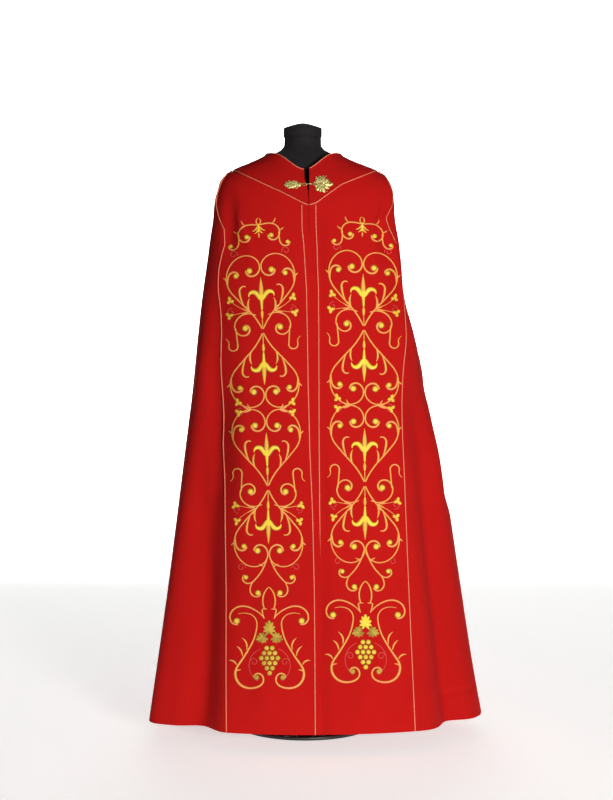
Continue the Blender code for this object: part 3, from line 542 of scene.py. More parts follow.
def flatArea(points):
    a, b, c, d = points[:-1, :-1], points[1:, :-1], points[1:, 1:], points[:-1, 1:]
    halves = [np.linalg.norm(np.cross(b - corner, d - corner), axis=-1) for corner in (a, c)]
    return float((halves[0] + halves[1]).sum() / 2)


# the hem is turned up 30 mm and stitched, which shows as the faintest step outside
clothThickness = 0.0020
hemTurn = {"height": 0.030, "step": 0.0003, "fade": 0.006}
seamGap = {"corded": 0.0002, "plain": 0.00003}     # how far a panel's edge stands back at each kind of seam


def hemStep(points):
    above = points[..., 2] - points[-1:, :, 2]
    return hemTurn["step"] * (1 - softStep((above - hemTurn["height"]) / hemTurn["fade"]))[..., None]


sheetCut = {}
for half in (left, right):
    side = sideName[half]
    spans = {"front_band": (0, 1), "side_panel": (1, sideSeam), "back_panel": (sideSeam, 2)}
    for kind, span in spans.items():
        start, end = span if half == left else (4 - span[1], 4 - span[0])
        pick = (around >= start - 1e-9) & (around <= end + 1e-9)
        points, outward = cloth[:, pick].copy(), clothOut[:, pick]
        for column, way in ((0, 1), (-1, -2)):     # each side edge, and the column next to it
            place = around[pick][column]
            if place not in (0, 4):
                pull = points[:, way] - points[:, column]
                gap = seamGap["corded" if place in (1, 3) else "plain"]
                points[:, column] += pull * (gap / np.linalg.norm(pull, axis=1, keepdims=True))
        points = points + outward * hemStep(points)
        material = bandCloth if kind == "front_band" else bodyCloth
        piece = makeSheet(f"{kind}Cloth_{side}", points, outward, -clothThickness, 0.0, material)
        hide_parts(f"{kind}_{side}")
        sheetCut[piece.name] = (piece, flatArea(points), points)
print("bands and bodies made", {name: round(area, 3) for name, (_, area, _) in sheetCut.items()})

# the collar's lower edge seen from the front: left X, right X and height, and its rise at the back
collarEdge = np.array([(-0.009, 0.009, 1.3820), (0.0050, 0.0283, 1.3878), (0.0570, 0.0643, 1.4146),
                       (0.1035, 0.0945, 1.4360), (0.1810, 0.1860, 1.4735), (0.2300, 0.2300, 1.4960)])
collar = {"backRise": 0.030, "thickness": 0.0022, "air": 0.0005, "rows": 26,
          "pressed": 0.0007, "pressedShare": 0.14, "neckRoll": 0.0016, "rollShare": 0.18}


def collarLevels():
    # for every column of the master grid, the level at which it crosses the collar's edge
    raw = np.concatenate([rawGrids[left], rawGrids[right][:, -2::-1]], 1)
    turn = np.concatenate([halfAngles[left], halfAngles[right][:, -2::-1]], 1)
    found = []
    for j, place in enumerate(around):
        half = left if place <= 2 else right
        column = 0 if half == left else 1
        edge = np.interp(raw[:, j, 0] * half, collarEdge[:, column], collarEdge[:, 2])
        edge = edge + np.where(turn[:, j] > math.pi / 2, collar["backRise"] * np.abs(np.cos(turn[:, j])), 0)
        below = np.argmax(raw[:, j, 2] < edge)
        gap = raw[:, j, 2] - edge
        part = gap[below - 1] / (gap[below - 1] - gap[below])
        found.append(levels[below - 1] * (1 - part) + levels[below] * part)
    found = np.array(found)
    smooth = np.convolve(np.pad(found, 4, mode="edge"), np.ones(9) / 9, mode="valid")
    fromBack = np.abs(around - 2)       # only the back is smoothed, and its point stays sharp
    return found + (smooth - found) * softStep((fromBack - 0.02) / 0.04) * softStep((0.80 - fromBack) / 0.10)


collarLevel = collarLevels()
collarDown = np.linspace(0, 1, collar["rows"])
collarGrid = collarDown[:, None] * collarLevel[None]
collarPoints, collarOut = clothAt(collarGrid, np.broadcast_to(around, collarGrid.shape))
# the edge is turned and pressed, and the collar rolls up a little at the neck
pressed = collar["pressed"] * (1 - softStep((1 - collarDown) / collar["pressedShare"]))[:, None, None]
neckRoll = collar["neckRoll"] * (1 - softStep(collarDown / collar["rollShare"]))[:, None, None]
collarPoints = collarPoints + collarOut * (pressed * -0.4 + neckRoll)
collarTop = collar["air"] + collar["thickness"]
collarPiece = makeSheet("collarCloth", collarPoints, collarOut, collar["air"], collarTop, collarCloth)
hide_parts("collar")
sheetCut["collarCloth"] = (collarPiece, flatArea(collarPoints), collarPoints)
print("collar made", round(sheetCut["collarCloth"][1], 3))


# piping cords: two strands wound together, laid on the seams and edges. A strand goes once round
# in "strandTurn", a ring of points stands every "ringGap", and the inner cord is "inset" from its edge
cord = {"radius": 0.0015, "strandTurn": 0.013, "ringGap": 0.0014, "sides": 10, "lift": 0.0002,
        "inset": 0.0176, "points": 420}


def makeCord(name, points, outward, radius, lift, node, shift=0.0):
    length = arcLengths(points)
    count, sides = int(length[-1] / cord["ringGap"]), cord["sides"]
    at = np.linspace(0, length[-1], count)
    line = np.stack([np.interp(at, length, points[:, k]) for k in range(3)], -1)
    out = np.stack([np.interp(at, length, outward[:, k]) for k in range(3)], -1)
    out /= np.linalg.norm(out, axis=1, keepdims=True)
    ahead = np.gradient(line, axis=0)
    ahead /= np.linalg.norm(ahead, axis=1, keepdims=True)
    across = np.cross(out, ahead)
    across /= np.linalg.norm(across, axis=1, keepdims=True)
    line = line + out * (lift + radius * 0.9) + across * shift
    turn = 2 * math.pi * np.arange(sides) / sides
    twist = 2 * math.pi * at[:, None] / cord["strandTurn"]
    reach = radius * (0.80 + 0.20 * np.abs(np.cos(turn[None] - twist)))
    ends = np.minimum(1, np.minimum(at, at[-1] - at) / radius)[:, None] ** 0.5 * 0.8 + 0.2
    ring = line[:, None] + across[:, None] * (reach * ends * np.cos(turn))[..., None] \
        + out[:, None] * (reach * ends * np.sin(turn))[..., None]
    uvs = np.stack([np.broadcast_to(turn / (2 * math.pi), (count, sides)),
                    np.broadcast_to(at[:, None], (count, sides))], -1).reshape(-1, 2)
    made = finishMesh(name, ring.reshape(-1, 3), tubeFaces(count, sides), cordGold, uvs, "cordUv")
    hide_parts(node)
    return made


for half in (left, right):
    side = sideName[half]
    bandRows = halfGrids[half][:, :bandColumns]
    bandWidth = np.linalg.norm(np.diff(bandRows, axis=1), axis=2).sum(1)
    for kind, edgePlace, start in (("Outer", 1.0, 0.06), ("Inner", 0.0, 0.008)):
        edgePlace = edgePlace if half == left else 4.0 - edgePlace
        startLevel = np.interp(edgePlace, around, collarLevel) + start
        downLevels = np.linspace(startLevel, hemLevel, cord["points"])
        inset = cord["inset"] / np.interp(downLevels, levels, bandWidth) if kind == "Inner" else 0.0
        points, outward = clothAt(downLevels, edgePlace - half * inset)
        key = f"{kind.lower()}_{side}"
        makeCord(f"piping{kind}_{side}", points, outward, cord["radius"], cord["lift"],
                                   f"cord_{key}")

edgePoints, edgeOut = clothAt(collarLevel, around)
makeCord("pipingCollar", edgePoints, edgeOut, cord["radius"], 0.0004, "cord_collar",
                                shift=0.0018)
neckPoints, neckOut = clothAt(np.zeros(len(around)), around)
makeCord("pipingNeck", neckPoints, neckOut, cord["radius"] * 0.9, collarTop + 0.0004,
                              "cord_neck", shift=0.0014)
print("cords made")

# the embroidery is set out as it is seen from the front, in squares as wide as one pixel
forward = (aim - eye).normalized()
sideways = Vector((1.0, 0.0, 0.0))
upward = sideways.cross(forward)
squares = pictureSize[1] * focalLength / sensor
squareSize = 0.00265                    # metres across one square at the cloth


def sightLine(x, y):
    across, up = x - pictureSize[0] / 2, pictureSize[1] / 2 - y
    return (forward * squares + sideways * across + upward * up).normalized()


def bandTree(half):
    # the band's outer face, for the sight lines to meet
    pick = around <= 1 + 1e-9 if half == left else around >= 3 - 1e-9
    points = cloth[:, pick]
    number = np.arange(points.shape[0] * points.shape[1]).reshape(points.shape[:2])
    return BVHTree.FromPolygons([Vector(p) for p in points.reshape(-1, 3)], gridQuads(number).tolist())


# what is stitched: satin lines (points, half widths along them, hue) and filled rounds
stemHue, goldHue, yellowHue, oliveHue, roseHue = 0.05, 0.35, 0.63, 1.0, -1.0


def satin(points, widths, hue=stemHue, height=0.0008, ends=1.0):
    return {"line": np.asarray(points, float), "widths": widths, "hue": hue, "height": height, "ends": ends}


def ball(centre, radius, hue=goldHue, height=0.0016):
    return {"ball": centre, "radius": radius, "hue": hue, "height": height}


def mirrored(shapes):
    # the same shapes on both sides of the design's axis
    flipped = []
    for shape in shapes:
        twin = dict(shape)
        if "line" in shape:
            twin["line"] = shape["line"] * (-1, 1)
        else:
            twin["ball"] = (-shape["ball"][0], shape["ball"][1])
        flipped.append(twin)
    return shapes + flipped


def shifted(shapes, up=0.0, flip=1):
    # the same shapes moved up, and turned upside down where flip is -1
    made = []
    for shape in shapes:
        twin = dict(shape)
        if "line" in shape:
            twin["line"] = shape["line"] * (1, flip) + (0, up)
        else:
            twin["ball"] = (shape["ball"][0], shape["ball"][1] * flip + up)
        made.append(twin)
    return made


def stroke(start, heading, arcs=(), curl=None):
    # drawn as with a compass: arcs (length, turn), then a curl (first radius, last radius, turn)
    # whose radius shrinks evenly; headings and turns in degrees, a turn above 0 goes left
    steps = []
    for length, turn in arcs:
        count = max(4, int(length / 0.8))
        steps += [(length / count, math.radians(turn) / count)] * count
    if curl:
        first, final, turn = curl
        count = max(12, int(abs(turn) / 7))
        steps += [(first * (final / first) ** ((k + 0.5) / count) * abs(math.radians(turn)) / count,
                   math.radians(turn) / count) for k in range(count)]
    points, angle = [np.array(start, float)], math.radians(heading)
    for length, turn in steps:
        angle += turn / 2
        points.append(points[-1] + length * np.array([math.cos(angle), math.sin(angle)]))
        angle += turn / 2
    return np.array(points)


def scroll(start, heading, arcs, curl, widths, berry, hue=goldHue):
    # a stroke with a round ball in the eye of its curl
    points = stroke(start, heading, arcs, curl)
    ahead = points[-1] - points[-2]
    ahead /= np.linalg.norm(ahead)
    inward = np.array([-ahead[1], ahead[0]]) * math.copysign(curl[1], curl[2])
    return [satin(points, widths, ends=0.5), ball(tuple(points[-1] + inward * 0.8), berry, hue)]


def tendril(start, heading, turn=400):
    # a thin rose curl
    return [satin(stroke(start, heading, (), (4.5, 1.5, turn)), (0.42,), roseHue, 0.0004)]


def leaf(start, heading, length, turn, wide=1.3):
    # a small pointed leaf that bends to one side
    return [satin(stroke(start, heading, ((length, turn),)), (0.5, wide, wide, 0.3))]


def trefoil(centre, radius, turn=90):
    # three round lobes that meet in the middle, the upper one a little longer
    made, middle, widths = [], np.array(centre), [radius * part for part in (0.7, 1.0, 0.95, 0.45)]
    for k, reach in enumerate((2.0, 1.7, 1.7)):
        a = math.radians(turn + 120 * k)
        ahead = np.array([math.cos(a), math.sin(a)])
        ends = [middle - ahead * radius * 0.2, middle + ahead * radius * reach]
        made.append(satin(ends, widths, goldHue + 0.1, 0.0013, 0.6))
    return made


def vineSpray(base, heading, reach=23):
    # a sprig: three leaves, two thin stems that end in trefoils, and a rose tendril between them
    made = leaf(base, heading + 15, 9, 25, 1.0) + leaf(base, heading - 20, 9, 20, 1.0)
    made += leaf(base, heading + 45, 7, 30, 0.9)
    for turn, length in ((28, reach), (-6, reach - 2)):
        stem = stroke(base, heading + turn * 0.7, ((length, turn),))
        made += [satin(stem, (0.45,))] + trefoil(tuple(stem[-1]), 2.3, heading + turn + 50)
    away, along = math.radians(heading + 16), reach - 5
    start = (base[0] + along * math.cos(away), base[1] + along * math.sin(away))
    return made + tendril(start, heading + 10, -400)


def heart():
    # half a heart: the stem sweeps out from the tip and rolls in; a scroll and leaves grow inside it
    side = scroll((0.5, 2), 66, ((24, -20), (22, 4), (36, 85)), (20, 4, 330),
                  (0.95, 1.0, 0.9, 0.8, 0.9, 1.4), 3.5)
    side += scroll((33, 45), 84, ((10, 16),), (8, 3, 180), (0.5, 1.1, 1.4, 1.2), 3)
    side += leaf((34, 52), 60, 5, -30, 0.9)
    side += [satin(stroke((18, 27), 62, ((14, 25),), (6, 3, 130)), (0.5, 1.2, 1.5, 1.2, 0.8))]
    side += leaf((12, 20), 60, 14, 60, 1.3)
    return mirrored(side)


def fleur():
    # a fleur-de-lis on the axis, its stem drawn down to a bulb
    petal = stroke((1, 31), 72, ((8, -25),), (5, 3.5, -150))
    return mirrored([satin(petal, (2.2, 2.6, 2.8, 2.0, 0.4), yellowHue, 0.0012)]) + [
        satin([(0, 34), (0, 54)], (2.2, 2.9, 2.4, 1.4, 0.2), goldHue, 0.0012),
        satin([(0, 39), (0, 21)], (3.0, 2.6, 1.6, 1.1), yellowHue, 0.0012),
        satin([(0, 21), (0, 12)], (0.9, 1.9, 1.6, 0.7), goldHue, 0.0011),
        satin([(0, 12), (0, 3)], (0.7, 0.6), stemHue)]


def unitDesign():
    # two hearts tip to tip, with paired C-scrolls and vine sprays above and hooks below
    whole = heart() + fleur()
    paired = scroll((6, 16), 25, ((4, -10),), (17, 3, -400), (0.7, 0.95, 0.95, 1.0, 1.5), 3.5)
    paired += [satin(stroke((27, 4), -95, ((18, 0), (16, 200), (8, -80))), (0.9, 0.9, 1.0, 0.9, 0.4))]
    paired += vineSpray((12, 20), -2)
    return whole + shifted(whole, flip=-1) + mirrored(paired)


def topDesign():
    # the crowning spray: two curls and their leaves on each side of a bud
    side = scroll((1, -1), 14, ((10, -18),), (12, 3.5, -285), (0.9, 0.95, 0.9, 1.0, 1.3), 2.8)
    side += scroll((20, -9), -92, ((9, 10),), (8, 2.5, 190), (0.8, 0.95, 0.95, 1.1), 2.4)
    side += leaf((14, 0), 30, 6, 60, 0.8) + leaf((20, -8), 10, 6, 40, 0.8)
    side += [satin(stroke((0.5, -1), 40, ((8, 100),)), (1.0, 0.9, 0.45))]
    side += [satin(stroke((0.5, -2), -65, ((8, 50),)), (1.2, 1.1, 0.4), goldHue),
             satin(stroke((0.5, -5), -80, ((6, 60),)), (1.0, 1.1, 0.4), goldHue)]
    return mirrored(side) + [satin([(0, 0.5), (0, -8.5)], (1.2, 1.5, 0.9), yellowHue),
                             satin([(0, -9), (0, -14)], (0.9, 1.2, 0.2))]


vineLobes = ((1.0, 0.0, 0.26), (0.86, 0.30, 0.20), (0.60, 0.50, 0.20), (0.30, 0.52, 0.18), (0.05, 0.32, 0.15))


def vineLeaf(centre, length, width, turn, hue):
    # nine blunt lobes from the middle of the leaf: reach along it, spread to both sides, and size
    a = math.radians(turn)
    ahead, across = np.array([math.cos(a), math.sin(a)]), np.array([-math.sin(a), math.cos(a)])
    foot = np.array(centre) - ahead * length / 2
    made = []
    for reach, spread, size in vineLobes:
        widths = [size * width * part for part in (0.7, 1.0, 0.9, 0.4)]
        for way in (1, -1) if spread else (1,):
            tip = foot + ahead * length * reach + across * width * spread * way
            made.append(satin([foot + ahead * length * 0.34, tip], widths, hue, 0.0010, 0.5))
    return made


def bottomDesign(topHue, grapeHue):
    # hanging scrolls, a bud, and a lyre round three vine leaves and a bunch of grapes
    side = scroll((0.5, 2), -78, ((14, 14), (18, 22)), (8, 3, 200), (0.9, 0.95, 0.95, 0.95, 1.1), 2.8)
    side += scroll((16, -26), -55, ((6, -20),), (9, 3.5, -180), (0.8, 0.95, 0.95, 1.1), 3.2)
    side += leaf((5, -11), 50, 6, -40, 0.8)
    side += [satin(stroke((0, -31), -38, ((8, -30), (16, -45))), (0.7, 1.0, 1.0, 0.9)),
             satin(stroke((2, -53), 0, ((5, 0),)), (0.6, 0.9)),
             satin(stroke((7, -53), -90, ((10, -25),)), (0.95, 0.9))]
    side += scroll((5, -62), 52, ((20, -35),), (18, 4, -225), (0.7, 1.0, 1.1, 1.1, 1.2), 3.6)
    side += scroll((31, -58), 160, ((12, 40), (14, 75), (22, 25), (22, 6), (4, -10), (26, -105), (12, -35)),
                   (9, 3, -260), (0.4, 0.8, 1.0, 1.1, 1.3, 1.6, 1.4, 1.1, 1.2), 3, oliveHue - 0.15)
    for start, heading, length, turn, wide in (((23, -94), 110, 14, -80, 1.1), ((27, -100), 90, 12, -60, 1.1),
                                               ((33, -109), 75, 10, -90, 1.1), ((35, -116), 140, 7, 40, 0.9)):
        side += leaf(start, heading, length, turn, wide)
    side += tendril((23, -12), 90, -400)
    side += [satin(stroke((9, -93), -20, ((40, -130),)), (0.42,), roseHue, 0.0004)] + tendril((20, -106), 100)
    shapes = mirrored(side) + vineLeaf((0, -72), 15.5, 11.5, 90, topHue)
    for x, turn in ((7.5, -15), (-7.5, 195)):
        shapes += vineLeaf((x, -82), 12.5, 10.5, turn, oliveHue - 0.08)
    for row, count in enumerate((2, 3, 4, 3, 2, 1)):
        for k in range(count):
            shapes.append(ball((5.5 * (k - (count - 1) / 2), -92 - 5 * row), 2.8, grapeHue, 0.0018))
    return shapes


def crownCurls():
    # the rose curls over the first pair of hearts
    return mirrored(tendril((22, 77), 100, -400))


def middleSprays():
    # the short sprays between the two pairs of hearts
    return mirrored(vineSpray((14, 76), -5, 15))


# where each band's design lies, in squares across and down: its axis (down, across), each part's
# place down and its size, and the hues of its top leaf and grapes
layout = {
    left: {"axis": [(215, 258), (335, 263), (490, 268), (715, 270)], "top": (224, 1.0), "upper": (331, 1.0),
           "lower": (488, 1.03), "bottom": (556, 1.0), "fruit": (0.88, 0.75)},
    right: {"axis": [(215, 362), (335, 364), (715, 366)], "top": (223, 1.0), "upper": (328, 1.0),
            "lower": (484, 1.03), "bottom": (550, 1.0), "fruit": (0.62, 0.64)}}
outwardDrop = [(215, 0.1), (430, 0.0)]  # near the top the design hangs lower on its outer side (down, drop)


def onPicture(half, points, base, size):
    # from the design's own squares (across, up) to the squares seen from the front (across, down)
    y = base - points[:, 1] * size
    x = np.interp(y, *zip(*layout[half]["axis"])) + points[:, 0]
    return np.stack([x, y + half * points[:, 0] * np.interp(y, *zip(*outwardDrop))], -1)


def evenly(points, gap=0.5):
    length = arcLengths(points)
    count = max(4, int(length[-1] / gap) + 1)
    at = np.linspace(0, length[-1], count)
    return np.stack([np.interp(at, length, points[:, k]) for k in range(2)], -1), at


# how stitching is raised: across and up for a satin line; and for a round, each ring's part of the
# radius, its height and how far its gold turns towards olive
stitchSink = 0.0002                     # a satin line's edges go this far into the cloth
satinCrown = ((-1.0, 0.0), (-0.62, 0.74), (0.0, 1.0), (0.62, 0.74), (1.0, 0.0))
ballRings = ((1.0, -0.1, 0.0), (0.86, 0.42, 0.0), (0.64, 0.70, 0.34), (0.38, 0.95, 0.16))
ballSides = 18


def stitchBand(half):
    tree = bandTree(half)
    verts, faces, uvs, hues, finish = [], [], [], [], []
    last = [Vector((0, -0.2, 1.0)), Vector((0, -1, 0))]     # the last place found, and its normal

    def lay(x, y, lift, uv, hue):
        place, normal, _, _ = tree.ray_cast(eye, sightLine(x, y))
        if place is not None:
            last[:] = place, normal if normal.y < 0 else -normal
        verts.append(last[0] + last[1] * lift)
        uvs.append(uv)
        hues.append(hue)

    def layLine(shape, base, size, hue):
        points, at = evenly(onPicture(half, shape["line"], base, size))
        stem, widths = shape["hue"] == stemHue, shape["widths"]
        wide = np.interp(at / at[-1], np.linspace(0, 1, len(widths)), widths) * (0.97 if stem else 1)
        fromEnd = np.minimum(at, (at[-1] - at) / shape["ends"]) + 0.08
        wide = wide * np.sqrt(np.clip(fromEnd / np.maximum(wide, 0.3), 0.02, 1))
        ahead = np.gradient(points, axis=0)
        ahead /= np.maximum(np.linalg.norm(ahead, axis=1, keepdims=True), 1e-9)
        first, step = len(verts), len(satinCrown)
        for (x, y), (dx, dy), w, s in zip(points, ahead, wide, at):
            tall = min(shape["height"], w * squareSize * 0.55)
            for across, height in satinCrown:
                lay(x - dy * w * across, y + dx * w * across, tall * height - stitchSink * (1 - height),
                    (0.5 + across / 2, s * squareSize), hue + (0.13 * abs(dy) if stem else 0))
        for i in range(len(points) - 1):
            for a in range(first + i * step, first + (i + 1) * step - 1):
                faces.append((a, a + 1, a + 1 + step, a + step))
                finish.append(1 if shape["hue"] < 0 else 0)

    def layBall(shape, base, size, hue):
        (cx, cy), = onPicture(half, np.array([shape["ball"]], float), base, size)
        radius, tall, first = shape["radius"], shape["height"], len(verts)
        for part, height, shift in ballRings:
            for k in range(ballSides):
                a = 2 * math.pi * k / ballSides
                # the first UV number runs out towards the edge, so each round gets the same painted edge
                # shade
                lay(cx + radius * part * math.cos(a), cy + radius * part * math.sin(a), tall * height,
                    (0.5 + part * 0.47, a * radius * squareSize * 0.5 + part * 0.002),
                    hue + shift * (shape["hue"] <= goldHue))
        lay(cx, cy, tall, (0.5, 0.0), hue + 0.25)
        for ring in range(len(ballRings)):
            a = first + ring * ballSides
            b, top = a + ballSides, ring == len(ballRings) - 1
            for k in range(ballSides):
                n = (k + 1) % ballSides
                faces.append((a + k, a + n, b) if top else (a + k, a + n, b + n, b + k))
                finish.append(0)

    parts = [(topDesign(), "top"), (unitDesign() + crownCurls(), "upper"),
             (shifted(unitDesign(), flip=-1) + middleSprays(), "lower"),
             (bottomDesign(*layout[half]["fruit"]), "bottom")]
    rng = np.random.default_rng(11 + half)
    for shapes, key in parts:
        for shape in shapes:                # each shape's thread differs a little, but for the rose one
            hue = stemHue if shape["hue"] < 0 else shape["hue"] + rng.uniform(-0.06, 0.06)
            (layLine if "line" in shape else layBall)(shape, *layout[half][key], hue)
    made = finishMesh(f"embroidery_{sideName[half]}", verts, faces, goldStitch, uvs, "stitchUv")
    made.data.materials.append(roseStitch)
    made.data.polygons.foreach_set("material_index", finish)
    tone = made.data.attributes.new("hue", "FLOAT", "POINT")
    tone.data.foreach_set("value", [max(0.0, min(1.0, h)) for h in hues])
    work = bmesh.new()
    work.from_mesh(made.data)
    for face in work.faces:
        if face.normal.y > 0:
            face.normal_flip()
    work.to_mesh(made.data)
    work.free()
    return made


embroidery = {half: stitchBand(half) for half in (left, right)}
print("embroidery made", {sideName[h]: len(e.data.polygons) for h, e in embroidery.items()})


# hard pieces are modelled with the tools: each is made at its size and place, then joined
def lastMade(name, material):
    made = bpy.context.active_object
    made.name = name
    made.data.materials.clear()
    made.data.materials.append(material)
    return made


def joinAll(name, parts):
    bpy.ops.object.select_all(action="DESELECT")
    for part in parts:
        part.select_set(True)
    bpy.context.view_layer.objects.active = parts[0]
    bpy.ops.object.join()
    parts[0].name = name
    return parts[0]


def settle(piece):
    # the place, turn and size go into the mesh, and the piece rides on the one body
    bpy.ops.object.select_all(action="DESELECT")
    piece.select_set(True)
    bpy.context.view_layer.objects.active = piece
    bpy.ops.object.transform_apply(location=True, rotation=True, scale=True)
    bpy.ops.object.select_all(action="DESELECT")
    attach(piece, "root")


def smoothAll(piece):
    for face in piece.data.polygons:
        face.use_smooth = True


def bevelled(piece, width, segments=3, angle=35):
    bpy.context.view_layer.objects.active = piece
    rounding = piece.modifiers.new("rounded", "BEVEL")
    rounding.width, rounding.segments, rounding.limit_method = width, segments, "ANGLE"
    rounding.angle_limit = math.radians(angle)
    bpy.ops.object.modifier_apply(modifier=rounding.name)


# the clasp hangs "drop" below the CAD's; its leaves, a little larger, stand "air" off the collar,
# and its wire links are "forward" of the CAD's
clasp = {"drop": 0.006, "air": 0.0012, "enlarged": 1.07, "wire": 0.0009, "forward": 0.0024}
collarTree = BVHTree.FromObject(collarPiece, bpy.context.evaluated_depsgraph_get())


def claspFrame(node, length, height):
    # a seat on the collar under a CAD leaf: its middle, and its directions along, up and out
    low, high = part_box(node)
    x, z = (low[0] + high[0]) / 2, (low[2] + high[2]) / 2 - clasp["drop"]
    spots = [collarTree.ray_cast(Vector((x + dx, -1, z + dz)), Vector((0, 1, 0)))[0]
             for dx, dz in ((-length * 0.3, 0), (length * 0.3, 0), (0, -height * 0.3), (0, height * 0.3))]
    along = (spots[1] - spots[0]).normalized()
    out = along.cross(spots[3] - spots[2]).normalized()
    if out.y > 0:
        out.negate()
    up = out.cross(along).normalized()
    if up.z < 0:
        up.negate()
    middle = sum(spots, Vector()) / 4
    turned = Matrix((along, up, out)).transposed().to_4x4()
    return Matrix.Translation(middle + out * clasp["air"]) @ turned @ Matrix.Scale(clasp["enlarged"], 4)


def lobe(x, y, length, width, turn):
    bpy.ops.mesh.primitive_uv_sphere_add(segments=20, ring_count=10, radius=1, location=(x, y, 0.0004),
                                         rotation=(0, 0, math.radians(turn)))
    made = bpy.context.active_object
    made.scale = (length / 2, width / 2, 0.0022)
    return made


def vein(x0, y0, x1, y1):
    radius, reach = 0.0008, math.hypot(x1 - x0, y1 - y0)
    turn = math.atan2(y1 - y0, x1 - x0)
    bpy.ops.mesh.primitive_cone_add(vertices=10, radius1=radius, radius2=radius * 0.3, depth=reach,
                                    location=((x0 + x1) / 2, (y0 + y1) / 2, 0.0024),
                                    rotation=(math.radians(90), 0, turn + math.radians(90)))
    return bpy.context.active_object


def castLeaf(name, node, side, spec):
    # a cast leaf in relief: lobes, veins, wire curls between them and beads on its edge
    parts = [lobe(x * side, y, length, width, turn * side) for x, y, length, width, turn in spec["lobes"]]
    parts += [vein(x0 * side, y0, x1 * side, y1) for x0, y0, x1, y1 in spec["veins"]]
    for x, y, radius in spec["curls"]:
        bpy.ops.mesh.primitive_torus_add(major_radius=radius, minor_radius=0.0007, major_segments=24,
                                         minor_segments=8, location=(x * side, y, 0.0016))
        parts.append(bpy.context.active_object)
    for x, y in spec["beads"]:
        bpy.ops.mesh.primitive_uv_sphere_add(segments=12, ring_count=8, radius=0.0013,
                                             location=(x * side, y, 0.0018))
        parts.append(bpy.context.active_object)
    joinAll(name, parts)
    casting = lastMade(name, gilt)
    casting.matrix_world = claspFrame(node, spec["length"], spec["height"]) @ casting.matrix_world
    settle(casting)
    smoothAll(casting)
    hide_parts(node)


def bothSides(rows, *turned):
    # after each row off the leaf's middle line comes its twin, with the named columns turned over
    made = []
    for row in rows:
        made.append(row)
        if row[turned[-1]]:
            made.append(tuple(-value if column in turned else value for column, value in enumerate(row)))
    return made


vineLeafSpec = {                         # x runs away from the opening, metres
    "length": 0.050, "height": 0.046,
    "lobes": bothSides([(0.013, 0.0, 0.030, 0.012, 0), (0.001, 0.011, 0.024, 0.013, 62),
                        (-0.009, 0.009, 0.018, 0.012, 118), (-0.003, 0.0, 0.020, 0.018, 0),
                        (0.007, 0.006, 0.024, 0.010, 30), (-0.004, 0.010, 0.021, 0.010, 90),
                        (-0.012, 0.004, 0.012, 0.008, 150)], 1, 4),
    "veins": bothSides([(-0.018, 0.0, 0.022, 0.0), (-0.010, 0.0, 0.010, 0.019),
                        (-0.012, 0.0, -0.013, 0.016)], 3),
    "curls": bothSides([(0.014, 0.0085, 0.0032), (-0.004, 0.0165, 0.0026), (-0.018, 0.0, 0.0030)], 1),
    "beads": bothSides([(0.0235, 0.0), (0.0115, 0.0195), (-0.0135, 0.0175), (-0.016, 0.006), (0.0195, 0.006),
                        (0.0, 0.0), (0.006, 0.004)], 1)}
longLeafSpec = {
    "length": 0.0455, "height": 0.024,
    "lobes": bothSides([(0.010, 0.0, 0.024, 0.010, 0), (-0.001, 0.004, 0.022, 0.009, 18),
                        (-0.012, 0.0, 0.018, 0.012, 0), (0.007, 0.0055, 0.014, 0.007, 38)], 1, 4),
    "veins": bothSides([(-0.018, 0.0, 0.020, 0.0), (-0.006, 0.0, 0.006, 0.008),
                        (0.002, 0.0, 0.012, 0.006)], 3),
    "curls": bothSides([(-0.008, 0.0072, 0.0024), (0.0155, 0.0045, 0.0020), (-0.0175, 0.0, 0.0028)], 1),
    "beads": bothSides([(0.0218, 0.0), (0.0095, 0.0095), (-0.002, 0.0092), (-0.0145, 0.0055)], 1)}
castLeaf("claspLeafLeft", "clasp_leaf_left", left, longLeafSpec)
castLeaf("claspLeafRight", "clasp_leaf_right", right, vineLeafSpec)


def wireLink(name, node, upright):
    # an oval ring of wire that fills its CAD link's box; the ring is made 1 across and then sized
    low, high = (Vector(corner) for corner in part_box(node))
    size, middle = high - low, (high + low) / 2 + Vector((0, -clasp["forward"], -clasp["drop"]))
    wire, wireShare = clasp["wire"], 0.16
    bpy.ops.mesh.primitive_torus_add(major_radius=1, minor_radius=wireShare, major_segments=40,
                                     minor_segments=10, location=middle,
                                     rotation=(math.radians(90 if upright else 0), 0, 0))
    ring = lastMade(name, gilt)
    across = max(size.z if upright else size.y, 0.004)
    ring.scale = (size.x / 2 - wire, across / 2 - wire * 0.5, wire / wireShare)
    settle(ring)
    smoothAll(ring)
    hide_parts(node)


wireLink("claspEye", "clasp_eye", True)
wireLink("claspHook", "clasp_hook", False)
print("clasp made")

# the dress form: a padded torso under black jersey, its shoulders just inside the cloth; below
# them a row for each section: height, half width, and depth of the front and the back
formSections = [(1.300, 0.197, -0.117, 0.112), (1.200, 0.188, -0.124, 0.115), (1.100, 0.171, -0.112, 0.105),
                (1.020, 0.160, -0.103, 0.100), (0.950, 0.168, -0.111, 0.108), (0.860, 0.182, -0.121, 0.122),
                (0.770, 0.187, -0.120, 0.128), (0.705, 0.184, -0.116, 0.124), (0.701, 0.176, -0.110, 0.118)]
neck = {"x": -0.006, "y": -0.008, "radius": 0.0485, "base": 1.528, "top": 1.560, "edge": 0.010}
# rings under the collar and below it, 1 / "parts" of the way to the hem each, and their clearance
shoulder = {"upper": 5, "lower": 2, "parts": 23, "air": 0.0028, "hollow": 0.022, "deeper": 0.0016}


